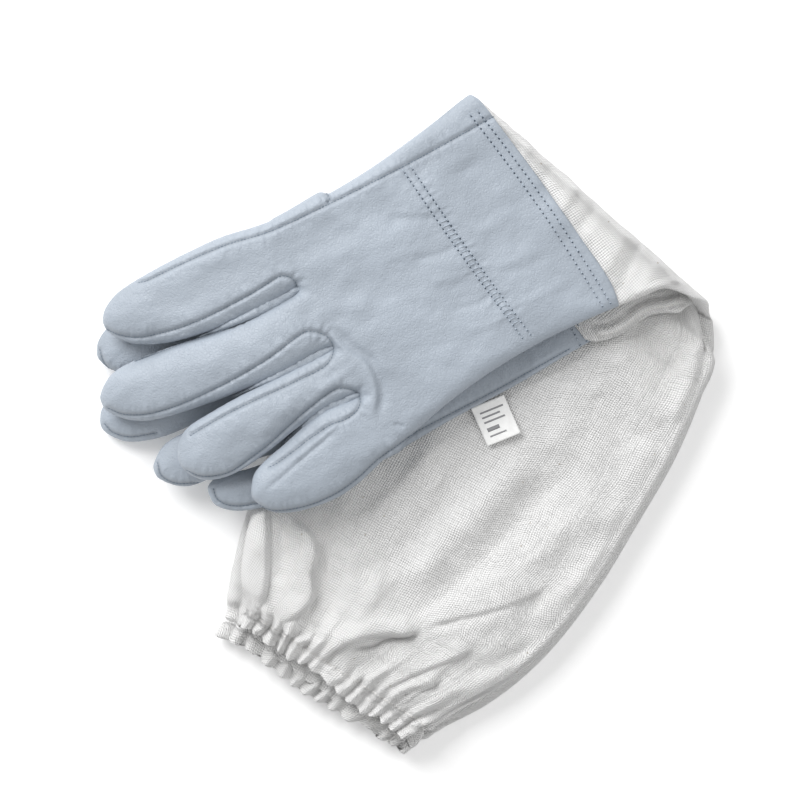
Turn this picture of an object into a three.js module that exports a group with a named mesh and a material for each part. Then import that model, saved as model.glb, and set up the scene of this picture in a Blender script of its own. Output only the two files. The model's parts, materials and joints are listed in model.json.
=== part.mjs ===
// A pair of beekeeping gloves laid palm to palm, with their canvas sleeves folded back underneath.
// Millimetres, +Z up. The frame's origin is the middle of the table face under the whole pair.
import * as THREE from 'three';

// Driving dimensions. Hand-frame lengths run along a hand (u, towards the cuff) and across it (v).
const HAND_TURN = THREE.MathUtils.degToRad(22.2);
const CENTRE = [0.1, 0.5];
const LEATHER = 1.5;
const CANVAS = 1.2;
const GAP = 0.35;
const HAND_HEIGHT = 9.4;
const SLEEVE_HEIGHT = 9.0;
const STRIP_HEIGHT = 5.6;
const THUMB_HEIGHT = 3.4;
const ELASTIC = 0.7;
const KNUCKLE_U = -20;
const GUSSET_LENGTH = 11;
const GUSSET_THICKNESS = 1.6;
const EDGE_STRIP = 1.4;
const LABEL = [18, 21, 0.6];
const LABEL_EDGE = [42.4, -6.8];

// Heights of the layers above the table, from the lowest up.
const LEFT_UNDER_Z = 0;
const RIGHT_UNDER_Z = LEFT_UNDER_Z + SLEEVE_HEIGHT + GAP;
const RIGHT_HAND_Z = RIGHT_UNDER_Z + SLEEVE_HEIGHT + GAP;
const THUMB_Z = RIGHT_HAND_Z + HAND_HEIGHT + GAP;
const LEFT_HAND_Z = THUMB_Z + THUMB_HEIGHT + GAP;

const BLUE_LEATHER = finish(0xb9c6d4, 0.62);
const PALM_LEATHER = finish(0xaebccb, 0.66);
const COTTON_CANVAS = finish(0xe4e3df, 0.95);
const WHITE_ELASTIC = finish(0xf2f1ee, 0.85);
const SATIN = finish(0xf6f6f4, 0.4);

// Rows of [u, low v, high v]: how wide a finger or a palm is along its length.
const LEFT_HAND = {
  palm: [
    [KNUCKLE_U, -14, 118.5], [0, -8.5, 119.5], [26, 1.5, 121.5], [50, 8.8, 126.5], [75, 12, 132],
  ],
  cuffEnd: [[119.5, 14.2], [96.5, 132.5]],
  fingers: {
    index: [
      [-20.6, 86, 119], [-34, 84, 119.5], [-50, 81, 121], [-72, 81, 120.2], [-92, 83, 118.4],
      [-108, 87, 115.6], [-117, 93.5, 111.5], [-120.6, 99, 107],
    ],
    middle: [
      [-20.6, 51.5, 81.5], [-34, 50, 78.5], [-48, 47.8, 77.4], [-68, 47, 78], [-92, 47.5, 81],
      [-115, 49.5, 81.2], [-128, 54.5, 78.8], [-136.8, 63, 71],
    ],
    ring: [
      [-20.6, 25, 47.2], [-36, 23.5, 46], [-52, 18.6, 44.4], [-70, 13.2, 43], [-88, 9.2, 41.4],
      [-101, 10.8, 39.6], [-108, 16, 34], [-111, 21, 29],
    ],
    little: [
      [-20.6, -15.5, 20.6], [-34, -19, 21], [-46, -21.2, 18.6], [-60, -21, 13.2], [-71, -18.8, 10],
      [-79, -14.6, 6], [-83.6, -8, -1],
    ],
  },
  gussets: [83, 48.9, 22.7],
  elastic: [[53.5, 86], [68.2, 21.5]],
};
const RIGHT_HAND = {
  palm: [
    [KNUCKLE_U, -17, 107.5], [0, -14, 107], [22, -6.8, 109], [46, -4.6, 112], [70, -1.8, 115],
  ],
  cuffEnd: [[102.5, 4], [80, 115.5]],
  fingers: {
    index: [
      [-20.6, 73, 107], [-38, 72, 107.5], [-60, 71, 108.5], [-84, 71, 107], [-104, 71.6, 105.8],
      [-119, 75, 103], [-128, 82, 98], [-131.4, 87, 93],
    ],
    middle: [
      [-20.6, 40.5, 68.6], [-42, 40, 69.2], [-66, 39.8, 69.4], [-92, 39.8, 69.8], [-116, 40, 70],
      [-132, 43.6, 69.4], [-140, 49.5, 65], [-143.4, 54, 60],
    ],
    ring: [
      [-20.6, 12.6, 37.6], [-40, 11.8, 38.4], [-62, 9.6, 38.6], [-90, 8.8, 38.4], [-108, 9.2, 38.2],
      [-119, 13.6, 35.6], [-126, 22, 29],
    ],
    little: [
      [-20.6, -17, 9.2], [-40, -17.6, 9.2], [-60, -16, 8], [-80, -13, 7.4], [-94, -9, 6.8],
      [-103, -3.6, 5.4], [-106.8, -1, 3],
    ],
  },
  gussets: [70.7, 39.2, 10.6],
  elastic: [[37, 73], [51, 12]],
};
// How far out along a finger it leaves the sleeves below it and starts to sag, and how fast it sags.
const SAG_FROM = { index: -32, middle: -32, ring: -62, little: -84 };
const SAG_DEPTH = 15.5;
const SAG_LENGTH = 98;
const SAG_POWER = 1.3;

// Pairs of plan points across a sleeve, from the fold to the mouth: [left edge, right edge].
const LEFT_UNDER = [
  [[35.0, 164.4], [155.6, 61.7]], [[10, 125], [156.4, 34]], [[-16, 85], [149.8, 12]],
  [[-42, 40], [136.5, -19]], [[-63, 0], [118.6, -50]], [[-77, -35], [97.2, -85]],
  [[-84.8, -64], [73, -116.5]], [[-86.4, -82], [45, -140]], [[-83.2, -94], [13.5, -154.6]],
];
const LEFT_HEM = [
  [[-82.9, -94.8], [12.8, -155.4]], [[-87.5, -101], [7, -160]], [[-92.4, -107.6], [-1.5, -165.4]],
];
const RIGHT_UNDER = [
  [[33, 158], [152, 53]], [[9, 121], [156.6, 31]], [[-15, 84], [149, 13]],
  [[-41, 40], [134, -18]], [[-61, 1], [116, -49]], [[-74, -34], [95, -83]],
  [[-80.6, -61], [71, -113.5]], [[-81.6, -78], [44, -135.6]], [[-77.4, -89], [15.5, -149]],
];
const RIGHT_HEM = [
  [[-77, -89.8], [14.8, -149.8]], [[-80.6, -96], [8.4, -155]], [[-84.6, -102.4], [1, -161]],
];
// Sleeves between the leather cuff and the fold: plan points with their heights above the table.
const LEFT_STRIP = [
  [[40.4, 159.6, 34], [107, 59, 34]],
  [[39, 161.2, 31], [131, 63.4, 30]],
  [[37.4, 162.6, 27.5], [154.2, 62.2, 27]],
];
const RIGHT_STRIP = [
  [[31.6, 137.4, 21], [95.4, 41.6, 21]],
  [[32.4, 146, 20], [126, 46, 20]],
  [[33.6, 156, 19], [151.6, 44.6, 19]],
];
// Rows of [u, low v, high v] along each thumb.
const LEFT_THUMB = [[62, 84, 108], [42, 80, 110], [18, 80, 109], [-4, 84, 107], [-14, 91, 101]];
const RIGHT_THUMB = [[60, 46, 74], [40, 44, 78], [16, 44, 76], [-5, 48, 72], [-15, 55, 66]];

const group = new THREE.Group();

function finish(color, roughness) {
  return new THREE.MeshStandardMaterial({ color, roughness, metalness: 0, flatShading: true });
}

/** Mesh from a list of points and a list of triangles. */
function solid(name, material, points, triangles, parent) {
  const geometry = new THREE.BufferGeometry();
  geometry.setAttribute('position', new THREE.Float32BufferAttribute(points.flat(), 3));
  geometry.setIndex(triangles.flat());
  geometry.computeVertexNormals();
  const mesh = new THREE.Mesh(geometry, material);
  mesh.name = name;
  parent.add(mesh);
  return mesh;
}

/** Signed volume of a closed triangle list, which is negative where its faces point inwards. */
function signedVolume(points, triangles) {
  const [a, b, c] = [new THREE.Vector3(), new THREE.Vector3(), new THREE.Vector3()];
  let total = 0;
  for (const [i, j, k] of triangles) {
    a.fromArray(points[i]);
    b.fromArray(points[j]);
    c.fromArray(points[k]);
    total += a.dot(b.cross(c)) / 6;
  }
  return total;
}

/** Triangles that join loops of equally many points, in order, and the last to the first if cyclic. */
function skin(loops, cyclic) {
  const count = loops[0].length;
  const triangles = [];
  const steps = cyclic ? loops.length : loops.length - 1;
  for (let step = 0; step < steps; step += 1) {
    const here = step * count;
    const there = ((step + 1) % loops.length) * count;
    for (let i = 0; i < count; i += 1) {
      const next = (i + 1) % count;
      triangles.push([here + i, here + next, there + next], [here + i, there + next, there + i]);
    }
  }
  return triangles;
}

/** Closed mesh of loops joined in order, with the end triangles that close it. */
function lofted(name, material, loops, endTriangles, parent, cyclic = false) {
  const points = loops.flat();
  const triangles = [...skin(loops, cyclic), ...endTriangles];
  const outward = signedVolume(points, triangles) > 0;
  const turned = outward ? triangles : triangles.map(([i, j, k]) => [i, k, j]);
  return solid(name, material, points, turned, parent);
}

/** Plan distance between the two ends of a section. */
function span([low, high]) {
  return Math.hypot(high[0] - low[0], high[1] - low[1]);
}

/** Point on a section: its plan distance from the low end, and its height over the section's own. */
function onSection([low, high], reach, height) {
  const share = reach / span([low, high]);
  const base = (low[2] ?? 0) * (1 - share) + (high[2] ?? 0) * share;
  return [low[0] + (high[0] - low[0]) * share, low[1] + (high[1] - low[1]) * share, base + height];
}

// Half of a flattened ring's rounded edge: [share of the corner's width, share of the half height].
const ROUNDED_EDGE = [[0, 0], [0.3, 0.74], [1, 1]];

/** Open arc over (side 1) or under (side -1) a section, inset from the outer face. */
function arc(section, height, inset, side, lift = 0) {
  const width = span(section);
  const corner = Math.min(height / 2, width / 2 - 0.1) - inset;
  const half = height / 2 - inset;
  const low = ROUNDED_EDGE.map(([out, up]) => [inset + out * corner, up]);
  const high = ROUNDED_EDGE.map(([out, up]) => [width - inset - out * corner, up]).reverse();
  const start = lift * side;
  return [...low, ...high].map(([reach, up]) => (
    onSection(section, reach, height / 2 + start + side * up * (half - lift))
  ));
}

/** Closed flattened ring round a section. */
function ring(section, height, inset = 0) {
  const over = arc(section, height, inset, 1);
  const under = arc(section, height, inset, -1).reverse();
  return [...over, ...under.slice(1, -1)];
}

/** Flattened tube, open at both ends. */
function openTube(name, material, sections, height, wall, parent) {
  const outer = sections.map((section) => ring(section, height));
  const inner = sections.map((section) => ring(section, height, wall)).reverse();
  return lofted(name, material, [...outer, ...inner], [], parent, true);
}

/** Flattened tube, open at its first section and closed past its last. */
function sock(name, material, sections, height, wall, parent) {
  const outer = sections.map((section) => ring(section, height)).reverse();
  const inner = sections.slice(0, -1).map((section) => ring(section, height, wall));
  const loops = [...outer, ...inner];
  const count = loops[0].length;
  const last = (loops.length - 1) * count;
  const ends = [];
  for (let i = 1; i < count - 1; i += 1) {
    ends.push([0, i + 1, i], [last, last + i, last + i + 1]);
  }
  return lofted(name, material, loops, ends, parent);
}

/** Half of a flattened tube's wall: the upper half (side 1) or the lower half (side -1). */
function halfShell(name, material, sections, height, wall, side, parent) {
  const loops = sections.map((section) => [
    ...arc(section, height, 0, side, GAP / 2),
    ...arc(section, height, wall, side, GAP / 2).reverse(),
  ]);
  const count = loops[0].length;
  const last = (loops.length - 1) * count;
  const ends = [];
  for (let i = 0; i < count / 2 - 1; i += 1) {
    const j = count - 1 - i;
    ends.push([i, j - 1, i + 1], [i, j, j - 1]);
    ends.push([last + i, last + i + 1, last + j - 1], [last + i, last + j - 1, last + j]);
  }
  return lofted(name, material, loops, ends, parent);
}

/** Solid strip of four sides along a list of sections, each [low, high], between two heights. */
function strip(name, material, sections, bottom, top, parent) {
  const loops = sections.map((section) => {
    const width = span(section);
    const corners = [[0, bottom], [width, bottom], [width, top], [0, top]];
    return corners.map(([reach, height]) => onSection(section, reach, height));
  });
  const last = (loops.length - 1) * 4;
  const ends = [[0, 2, 1], [0, 3, 2], [last, last + 1, last + 2], [last, last + 2, last + 3]];
  return lofted(name, material, loops, ends, parent);
}

/** How far a finger hangs below the palm at a place along it. */
function sag(finger, u) {
  const past = Math.max(0, SAG_FROM[finger] - u) / SAG_LENGTH;
  return -SAG_DEPTH * past ** SAG_POWER;
}

/** Sections of one finger, sagging towards its tip. */
function fingerSections(finger, rows) {
  return rows.map(([u, low, high]) => [[u, low, sag(finger, u)], [u, high, sag(finger, u)]]);
}

/** Sections of the palm up to its cuff, set in from the thumb side by the edge strip. */
function palmSections({ palm, cuffEnd }) {
  const inset = EDGE_STRIP + GAP;
  const rows = palm.map(([u, low, high]) => [[u, low], [u, high - inset]]);
  const [low, high] = cuffEnd;
  return [...rows, [low, [high[0], high[1] - inset]]];
}

/** Narrow sections along the palm's thumb-side edge, for its edge strip. */
function edgeSections({ palm, cuffEnd }) {
  const rows = [...palm.map(([u, , high]) => [u, high]), cuffEnd[1]];
  return rows.map(([u, high]) => [[u, high - EDGE_STRIP], [u, high]]);
}

/** Leather hand: two panels, four finger stalls, forks between them, edge strip and wrist elastic. */
function addHand(side, design, level, backUp) {
  const hand = new THREE.Group();
  hand.rotation.z = HAND_TURN;
  hand.position.z = level;
  group.add(hand);
  const panels = palmSections(design);
  const backSide = backUp ? 1 : -1;
  halfShell(`${side}_back_panel`, BLUE_LEATHER, panels, HAND_HEIGHT, LEATHER, backSide, hand);
  halfShell(`${side}_palm_panel`, PALM_LEATHER, panels, HAND_HEIGHT, LEATHER, -backSide, hand);
  for (const [finger, rows] of Object.entries(design.fingers)) {
    const sections = fingerSections(finger, rows);
    sock(`${side}_${finger}_finger`, BLUE_LEATHER, sections, HAND_HEIGHT, LEATHER, hand);
  }
  const forks = ['index_middle', 'middle_ring', 'ring_little'];
  forks.forEach((fork, i) => {
    const from = KNUCKLE_U - GAP;
    const rows = [from, from - GUSSET_LENGTH].map((u) => [
      [u, design.gussets[i] - GUSSET_THICKNESS / 2], [u, design.gussets[i] + GUSSET_THICKNESS / 2],
    ]);
    strip(`${side}_${fork}_fork`, PALM_LEATHER, rows, LEATHER, HAND_HEIGHT - LEATHER, hand);
  });
  strip(
    `${side}_edge_strip`, PALM_LEATHER, edgeSections(design), LEATHER, HAND_HEIGHT - LEATHER, hand,
  );
  const inner = backUp ? HAND_HEIGHT - LEATHER - GAP - ELASTIC : LEATHER + GAP;
  const band = design.elastic.map(([u, v]) => [[u - 3, v], [u + 3, v]]);
  strip(`${side}_wrist_elastic`, WHITE_ELASTIC, band, inner, inner + ELASTIC, hand);
}

/** Thumb stall, pressed flat between the two palms. */
function addThumb(side, rows) {
  const hand = new THREE.Group();
  hand.rotation.z = HAND_TURN;
  hand.position.z = THUMB_Z;
  group.add(hand);
  const sections = rows.map(([u, low, high]) => [[u, low], [u, high]]);
  sock(`${side}_thumb`, BLUE_LEATHER, sections, THUMB_HEIGHT, 1, hand);
}

/** Sleeve folded under the hands, its gathered hem and the elastic inside the hem. */
function addSleeve(side, under, hem, level) {
  const sleeve = new THREE.Group();
  sleeve.position.z = level;
  group.add(sleeve);
  openTube(`${side}_sleeve_under`, COTTON_CANVAS, under, SLEEVE_HEIGHT, CANVAS, sleeve);
  openTube(`${side}_sleeve_hem`, COTTON_CANVAS, hem, SLEEVE_HEIGHT, CANVAS, sleeve);
  const inset = CANVAS + GAP;
  const band = [hem[0], hem[1]].map(([low, high]) => {
    const width = span([low, high]);
    return [onSection([low, high], inset, inset), onSection([low, high], width - inset, inset)];
  });
  const height = SLEEVE_HEIGHT - 2 * inset;
  openTube(`${side}_hem_elastic`, WHITE_ELASTIC, band, height, ELASTIC, sleeve);
}

/** Care label, sewn by one edge to the lower glove and lying on its folded sleeve. */
function addLabel() {
  const holder = new THREE.Group();
  holder.rotation.z = HAND_TURN;
  holder.position.set(0, 0, RIGHT_HAND_Z + 1);
  group.add(holder);
  const mesh = new THREE.Mesh(new THREE.BoxGeometry(...LABEL), SATIN);
  mesh.name = 'size_label';
  mesh.position.set(LABEL_EDGE[0], LABEL_EDGE[1] - LABEL[1] / 2, LABEL[2] / 2);
  holder.add(mesh);
}

addSleeve('left', LEFT_UNDER, LEFT_HEM, LEFT_UNDER_Z);
addSleeve('right', RIGHT_UNDER, RIGHT_HEM, RIGHT_UNDER_Z);
openTube('left_sleeve_strip', COTTON_CANVAS, LEFT_STRIP, STRIP_HEIGHT, CANVAS, group);
openTube('right_sleeve_strip', COTTON_CANVAS, RIGHT_STRIP, STRIP_HEIGHT, CANVAS, group);
addHand('right', RIGHT_HAND, RIGHT_HAND_Z, false);
addHand('left', LEFT_HAND, LEFT_HAND_Z, true);
addThumb('left', LEFT_THUMB);
addThumb('right', RIGHT_THUMB);
addLabel();
group.position.set(CENTRE[0], CENTRE[1], 0);

export default group;
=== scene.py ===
"""A pair of beekeeping gloves laid palm to palm, with their canvas sleeves folded back under the hands.

Lengths in the classes are millimetres. A hand's own plan coordinates are u, along the hand towards its cuff,
and v, across it towards the thumb side. Meshes are made in metres, in the frame that the model is packed in.
"""

import json
import logging
import math
from dataclasses import dataclass, field
from enum import Enum
from itertools import product
from typing import Callable, Iterable, Optional, Sequence

import bmesh
import bpy
import numpy as np
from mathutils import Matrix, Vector
from mathutils.bvhtree import BVHTree


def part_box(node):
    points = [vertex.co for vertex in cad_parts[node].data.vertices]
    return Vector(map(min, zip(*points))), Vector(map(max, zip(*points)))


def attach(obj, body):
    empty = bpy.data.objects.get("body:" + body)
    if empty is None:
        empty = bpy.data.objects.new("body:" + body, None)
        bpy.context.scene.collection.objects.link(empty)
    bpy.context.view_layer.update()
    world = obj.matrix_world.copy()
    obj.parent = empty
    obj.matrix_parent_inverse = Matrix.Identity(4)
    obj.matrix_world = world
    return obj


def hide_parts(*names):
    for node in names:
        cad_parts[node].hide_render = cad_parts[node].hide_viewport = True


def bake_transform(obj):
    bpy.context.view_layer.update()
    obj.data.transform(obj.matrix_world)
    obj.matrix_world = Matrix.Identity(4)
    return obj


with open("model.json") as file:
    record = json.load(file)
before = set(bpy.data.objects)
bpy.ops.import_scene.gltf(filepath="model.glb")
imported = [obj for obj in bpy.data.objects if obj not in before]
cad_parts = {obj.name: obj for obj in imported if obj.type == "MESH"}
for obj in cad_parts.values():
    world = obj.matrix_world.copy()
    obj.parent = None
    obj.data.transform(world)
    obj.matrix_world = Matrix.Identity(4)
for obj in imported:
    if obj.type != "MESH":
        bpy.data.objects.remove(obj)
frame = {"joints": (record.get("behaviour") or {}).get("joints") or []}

Array = np.ndarray
Path = Sequence[tuple[float, ...]]
MM = 0.001
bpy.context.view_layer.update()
log = logging.getLogger("gloves")


class Side(Enum):
    """Which hand a glove is for."""

    LEFT = "left"
    RIGHT = "right"


# ---------------------------------------------------------------------------------------------------------
# Plane and surface maths


def smoothstep(low: float, high: float, value: Array) -> Array:
    """Smooth rise from 0 at low to 1 at high."""
    share = np.clip((value - low) / (high - low), 0.0, 1.0)
    return share * share * (3.0 - 2.0 * share)


def spline(points: Path, count: int) -> Array:
    """Smooth curve through the points, sampled evenly along its length.

    Args:
        points: Two or more points of any dimension.
        count: How many samples to give.

    Returns:
        Array of count rows.
    """
    knots = np.array(points, float)
    ghost = np.vstack([2 * knots[0] - knots[1], knots, 2 * knots[-1] - knots[-2]])
    fine = []
    share = np.linspace(0, 1, 24, endpoint=False)[:, None]
    for a, b, c, d in zip(ghost, ghost[1:], ghost[2:], ghost[3:]):
        cubic = -a + 3 * b - 3 * c + d
        square = 2 * a - 5 * b + 4 * c - d
        fine.append(0.5 * (2 * b + (c - a) * share + square * share**2 + cubic * share**3))
    dense = np.vstack(fine + [knots[-1:]])
    run = np.concatenate([[0], np.cumsum(np.linalg.norm(np.diff(dense, axis=0), axis=1))])
    wanted = np.linspace(0, run[-1], count)
    return np.stack([np.interp(wanted, run, column) for column in dense.T], axis=1)


def bowed(start: tuple[float, float], end: tuple[float, float], bow: float, count: int = 6) -> Path:
    """Points on a line that bends to its left, by `bow` at its middle."""
    share = np.linspace(0, 1, count)[:, None]
    way = np.subtract(end, start)
    left = np.array((-way[1], way[0])) / np.linalg.norm(way)
    return tuple(map(tuple, np.array(start) + way * share + left * bow * np.sin(math.pi * share)))


def eased(start: tuple[float, float], end: tuple[float, float], power: float, count: int = 7) -> Path:
    """Points on a line that leaves its start level and steepens by a power of the way along."""
    share = np.linspace(0, 1, count)
    rise = (end[1] - start[1]) * share**power
    return tuple(zip(start[0] + (end[0] - start[0]) * share, start[1] + rise))


def path_distance(points: Array, path: Array) -> tuple[Array, Array, Array]:
    """Nearest distance from points to a path, in plan.

    Args:
        points: Rows of plan points.
        path: Rows of plan points along the path.

    Returns:
        The distance, the signed side (positive to the path's left), and the run along the path from 0 to 1.
    """
    best = np.full(len(points), 1e9)
    side = np.zeros(len(points))
    along = np.zeros(len(points))
    reach = 26.0
    low, high = path.min(0) - reach, path.max(0) + reach
    near = np.flatnonzero(((points > low) & (points < high)).all(1))
    place = points[near]
    near_best = best[near]
    near_side = side[near]
    near_along = along[near]
    run = np.concatenate([[0], np.cumsum(np.linalg.norm(np.diff(path, axis=0), axis=1))])
    for i, (start, end) in enumerate(zip(path, path[1:])):
        step = end - start
        length = max(float(step @ step), 1e-9)
        share = np.clip((place - start) @ step / length, 0, 1)
        gap = place - start - share[:, None] * step
        distance = np.hypot(gap[:, 0], gap[:, 1])
        closer = distance < near_best
        near_best = np.where(closer, distance, near_best)
        turn = np.sign(step[0] * gap[:, 1] - step[1] * gap[:, 0])
        near_side = np.where(closer, turn, near_side)
        place_along = (run[i] + share * math.sqrt(length)) / run[-1]
        near_along = np.where(closer, place_along, near_along)
    best[near], side[near], along[near] = near_best, near_side, near_along
    return best, side, along


def inside_distance(points: Array, outline: Array) -> Array:
    """Distance from points to a closed outline, positive inside it."""
    best = np.full(len(points), 1e9)
    crossings = np.zeros(len(points), bool)
    x, y = points[:, 0], points[:, 1]
    for start, end in zip(outline, np.roll(outline, -1, axis=0)):
        step = end - start
        share = np.clip(((points - start) @ step) / max(float(step @ step), 1e-9), 0, 1)
        gap = points - start - share[:, None] * step
        best = np.minimum(best, np.hypot(gap[:, 0], gap[:, 1]))
        if abs(step[1]) > 1e-12:
            spans = (start[1] > y) != (end[1] > y)
            crossings ^= spans & (x < start[0] + (y - start[1]) * step[0] / step[1])
    return np.where(crossings, best, -best)


def smooth_max(a: Array, b: Array, blend: float) -> Array:
    """The larger of two fields, with a rounded join."""
    share = np.clip(0.5 + 0.5 * (a - b) / blend, 0, 1)
    return b * (1 - share) + a * share + blend * share * (1 - share)


class Noise:
    """Smooth random field over the plane, the same on every run."""

    def __init__(self, seed: int, size: int = 64) -> None:
        """Fills a lattice of random heights from the seed."""
        self.size = size
        self.lattice = np.random.RandomState(seed).uniform(-1, 1, (size, size))

    def __call__(self, x: Array, y: Array) -> Array:
        """Height, from about -1 to 1, at lattice coordinates x and y."""
        ix, iy = np.floor(x).astype(int), np.floor(y).astype(int)
        fx, fy = x - ix, y - iy
        fx = fx * fx * fx * (fx * (fx * 6 - 15) + 10)
        fy = fy * fy * fy * (fy * (fy * 6 - 15) + 10)
        size, grid = self.size, self.lattice
        low = grid[ix % size, iy % size] * (1 - fx) + grid[(ix + 1) % size, iy % size] * fx
        high = grid[ix % size, (iy + 1) % size] * (1 - fx) + grid[(ix + 1) % size, (iy + 1) % size] * fx
        return low * (1 - fy) + high * fy

    def octaves(self, x: Array, y: Array, count: int) -> Array:
        """Sum of finer and weaker copies of the field."""
        total = np.zeros_like(x)
        for level in range(count):
            scale = 2.03**level
            total += self(x * scale + 7.3 * level, y * scale + 3.1 * level) / 1.9**level
        return total


@dataclass(frozen=True)
class Crease:
    """A given line that raises or sinks the surface beside it.

    Attributes:
        points: Plan points along the line.
        height: Rise along the line, negative for a groove.
        width: Half width of the rise.
        lean: From -1 to 1, how much steeper the right side is than the left.
        ripple: Share by which the height wavers along the line.
        pucker: Height of the fine cross puckers beside the line.
        pitch: Length of one pucker.
        blunt: Whether the line keeps its full height to both ends.
        finest: Least half width of a steep side.
    """

    points: Path
    height: float
    width: float
    lean: float = 0.0
    ripple: float = 0.2
    pucker: float = 0.0
    pitch: float = 3.6
    blunt: bool = False
    finest: float = 1.1

    def lift(self, place: Array, noise: Noise) -> Array:
        """Height that the crease adds at plan points."""
        curve = spline(self.points, 10 * len(self.points))
        distance, side, along = path_distance(place, curve)
        width = np.maximum(self.width * (1 + self.lean * side * 0.85), min(self.width, self.finest))
        shape = np.exp(-((distance / width) ** 2))
        if not self.blunt:
            shape = shape * np.minimum(1, np.minimum(along, 1 - along) * 7 + 0.02)
        length = float(np.linalg.norm(np.diff(curve, axis=0), axis=1).sum())
        run = along * length
        waver = 1 + self.ripple * noise(run / 9 + self.width, run * 0 + self.height)
        total = self.height * shape * waver
        if self.pucker:
            wave = noise(run / self.pitch * 2, side * 3.1 + 5)
            reach = np.exp(-((distance - 2.6) / 2.4) ** 2)
            total += self.pucker * wave * reach * np.minimum(1, np.minimum(along, 1 - along) * 9)
        return total


def total_lift(creases: Iterable[Crease], place: Array, noise: Noise) -> Array:
    """Sum of what several creases add at plan points."""
    total = np.zeros(len(place))
    for crease in creases:
        total += crease.lift(place, noise)
    return total


def surface_net(values: Array, low: Sequence[float], step: float) -> tuple[Array, Array]:
    """Closed quad surface where a sampled field changes sign, negative inside.

    Args:
        values: Field values on a regular grid.
        low: The grid's first corner.
        step: The grid's spacing.

    Returns:
        Vertices, and quads whose faces point to where the field is positive.
    """
    inside = values < 0
    cells = tuple(n - 1 for n in values.shape)
    corners = [
        inside[i : i + cells[0], j : j + cells[1], k : k + cells[2]]
        for i, j, k in product((0, 1), repeat=3)
    ]
    filled = sum(corner.astype(np.int8) for corner in corners)
    active = (filled > 0) & (filled < 8)
    index = np.full(cells, -1)
    index[active] = np.arange(active.sum())
    total = np.zeros((active.sum(), 3))
    count = np.zeros(active.sum())
    quads = []
    for axis in range(3):
        ahead = [slice(None)] * 3
        behind = [slice(None)] * 3
        ahead[axis], behind[axis] = slice(1, None), slice(None, -1)
        first, second = values[tuple(behind)], values[tuple(ahead)]
        i, j, k = np.nonzero((first < 0) != (second < 0))
        share = first[i, j, k] / (first[i, j, k] - second[i, j, k])
        point = np.stack([i, j, k], axis=1).astype(float)
        point[:, axis] += share
        across = [a for a in range(3) if a != axis]
        ring = []
        for da, db in ((0, 0), (1, 0), (1, 1), (0, 1)):
            cell = np.stack([i, j, k], axis=1)
            cell[:, across[0]] -= da
            cell[:, across[1]] -= db
            good = ((cell >= 0) & (cell < np.array(cells))).all(1)
            safe = np.where(good[:, None], cell, 0)
            number = np.where(good, index[safe[:, 0], safe[:, 1], safe[:, 2]], -1)
            ring.append(number)
            np.add.at(total, number[good], point[good])
            np.add.at(count, number[good], 1)
        quad = np.stack(ring, axis=1)
        whole = (quad >= 0).all(1)
        rising = first[i, j, k] < 0
        forward = rising if axis != 1 else ~rising
        quad = np.where(forward[:, None], quad, quad[:, ::-1])
        quads.append(quad[whole])
    return np.array(low) + step * total / count[:, None], np.vstack(quads)


def relax(points: Array, quads: Array, rounds: int, amount: float = 0.5) -> Array:
    """Moves each vertex towards the middle of its neighbours."""
    edges = np.vstack([quads[:, [i, (i + 1) % 4]] for i in range(4)])
    edges = np.vstack([edges, edges[:, ::-1]])
    degree = np.bincount(edges[:, 0], minlength=len(points)).astype(float)
    for _ in range(rounds):
        total = np.stack(
            [np.bincount(edges[:, 0], points[edges[:, 1], i], len(points)) for i in range(3)], axis=1
        )
        points = points * (1 - amount) + amount * total / np.maximum(degree, 1)[:, None]
    return points


def vertex_normals(points: Array, quads: Array) -> Array:
    """Unit normal at each vertex of a quad mesh."""
    diagonal = points[quads[:, 2]] - points[quads[:, 0]]
    other = points[quads[:, 3]] - points[quads[:, 1]]
    face = np.cross(diagonal, other)
    total = np.zeros_like(points)
    for column in range(4):
        for axis in range(3):
            total[:, axis] += np.bincount(quads[:, column], face[:, axis], len(points))
    return total / np.maximum(np.linalg.norm(total, axis=1), 1e-12)[:, None]


def make_object(
    name: str, points: Array, faces: Sequence[Sequence[int]], material: bpy.types.Material
) -> bpy.types.Object:
    """Smooth mesh object at the origin.

    Args:
        name: The object's name.
        points: Vertices in millimetres.
        faces: Vertex numbers of each face.
        material: What the object is made of.

    Returns:
        The new object, linked to the scene.
    """
    mesh = bpy.data.meshes.new(name)
    mesh.from_pydata((points * MM).tolist(), [], [tuple(map(int, face)) for face in faces])
    mesh.polygons.foreach_set("use_smooth", [True] * len(mesh.polygons))
    mesh.materials.append(material)
    mesh.update()
    obj = bpy.data.objects.new(name, mesh)
    bpy.context.scene.collection.objects.link(obj)
    return obj


def set_attribute(mesh: bpy.types.Mesh, name: str, values: Array) -> None:
    """Stores one number for each vertex, for a material to read."""
    layer = mesh.attributes.new(name, "FLOAT", "POINT")
    layer.data.foreach_set("value", values.astype(np.float32))


class Drop:
    """Finds the height of a finished surface under a plan point."""

    def __init__(self, points: Array, quads: Array) -> None:
        """Builds the search tree of a quad mesh in millimetres."""
        self.tree = BVHTree.FromPolygons(points.tolist(), quads.tolist())

    def onto(self, path: Array, from_above: bool, stand: float) -> Array:
        """Plan points lifted onto the surface, from above or from below, and stood off from it."""
        start, way = (200.0, -1.0) if from_above else (-200.0, 1.0)
        found = []
        for x, y in path[:, :2]:
            hit = self.tree.ray_cast(Vector((x, y, start)), Vector((0, 0, way)))
            if hit[0] is not None:
                found.append((x, y, hit[0].z - way * stand))
        return np.array(found)


# ---------------------------------------------------------------------------------------------------------
# Materials


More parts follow.
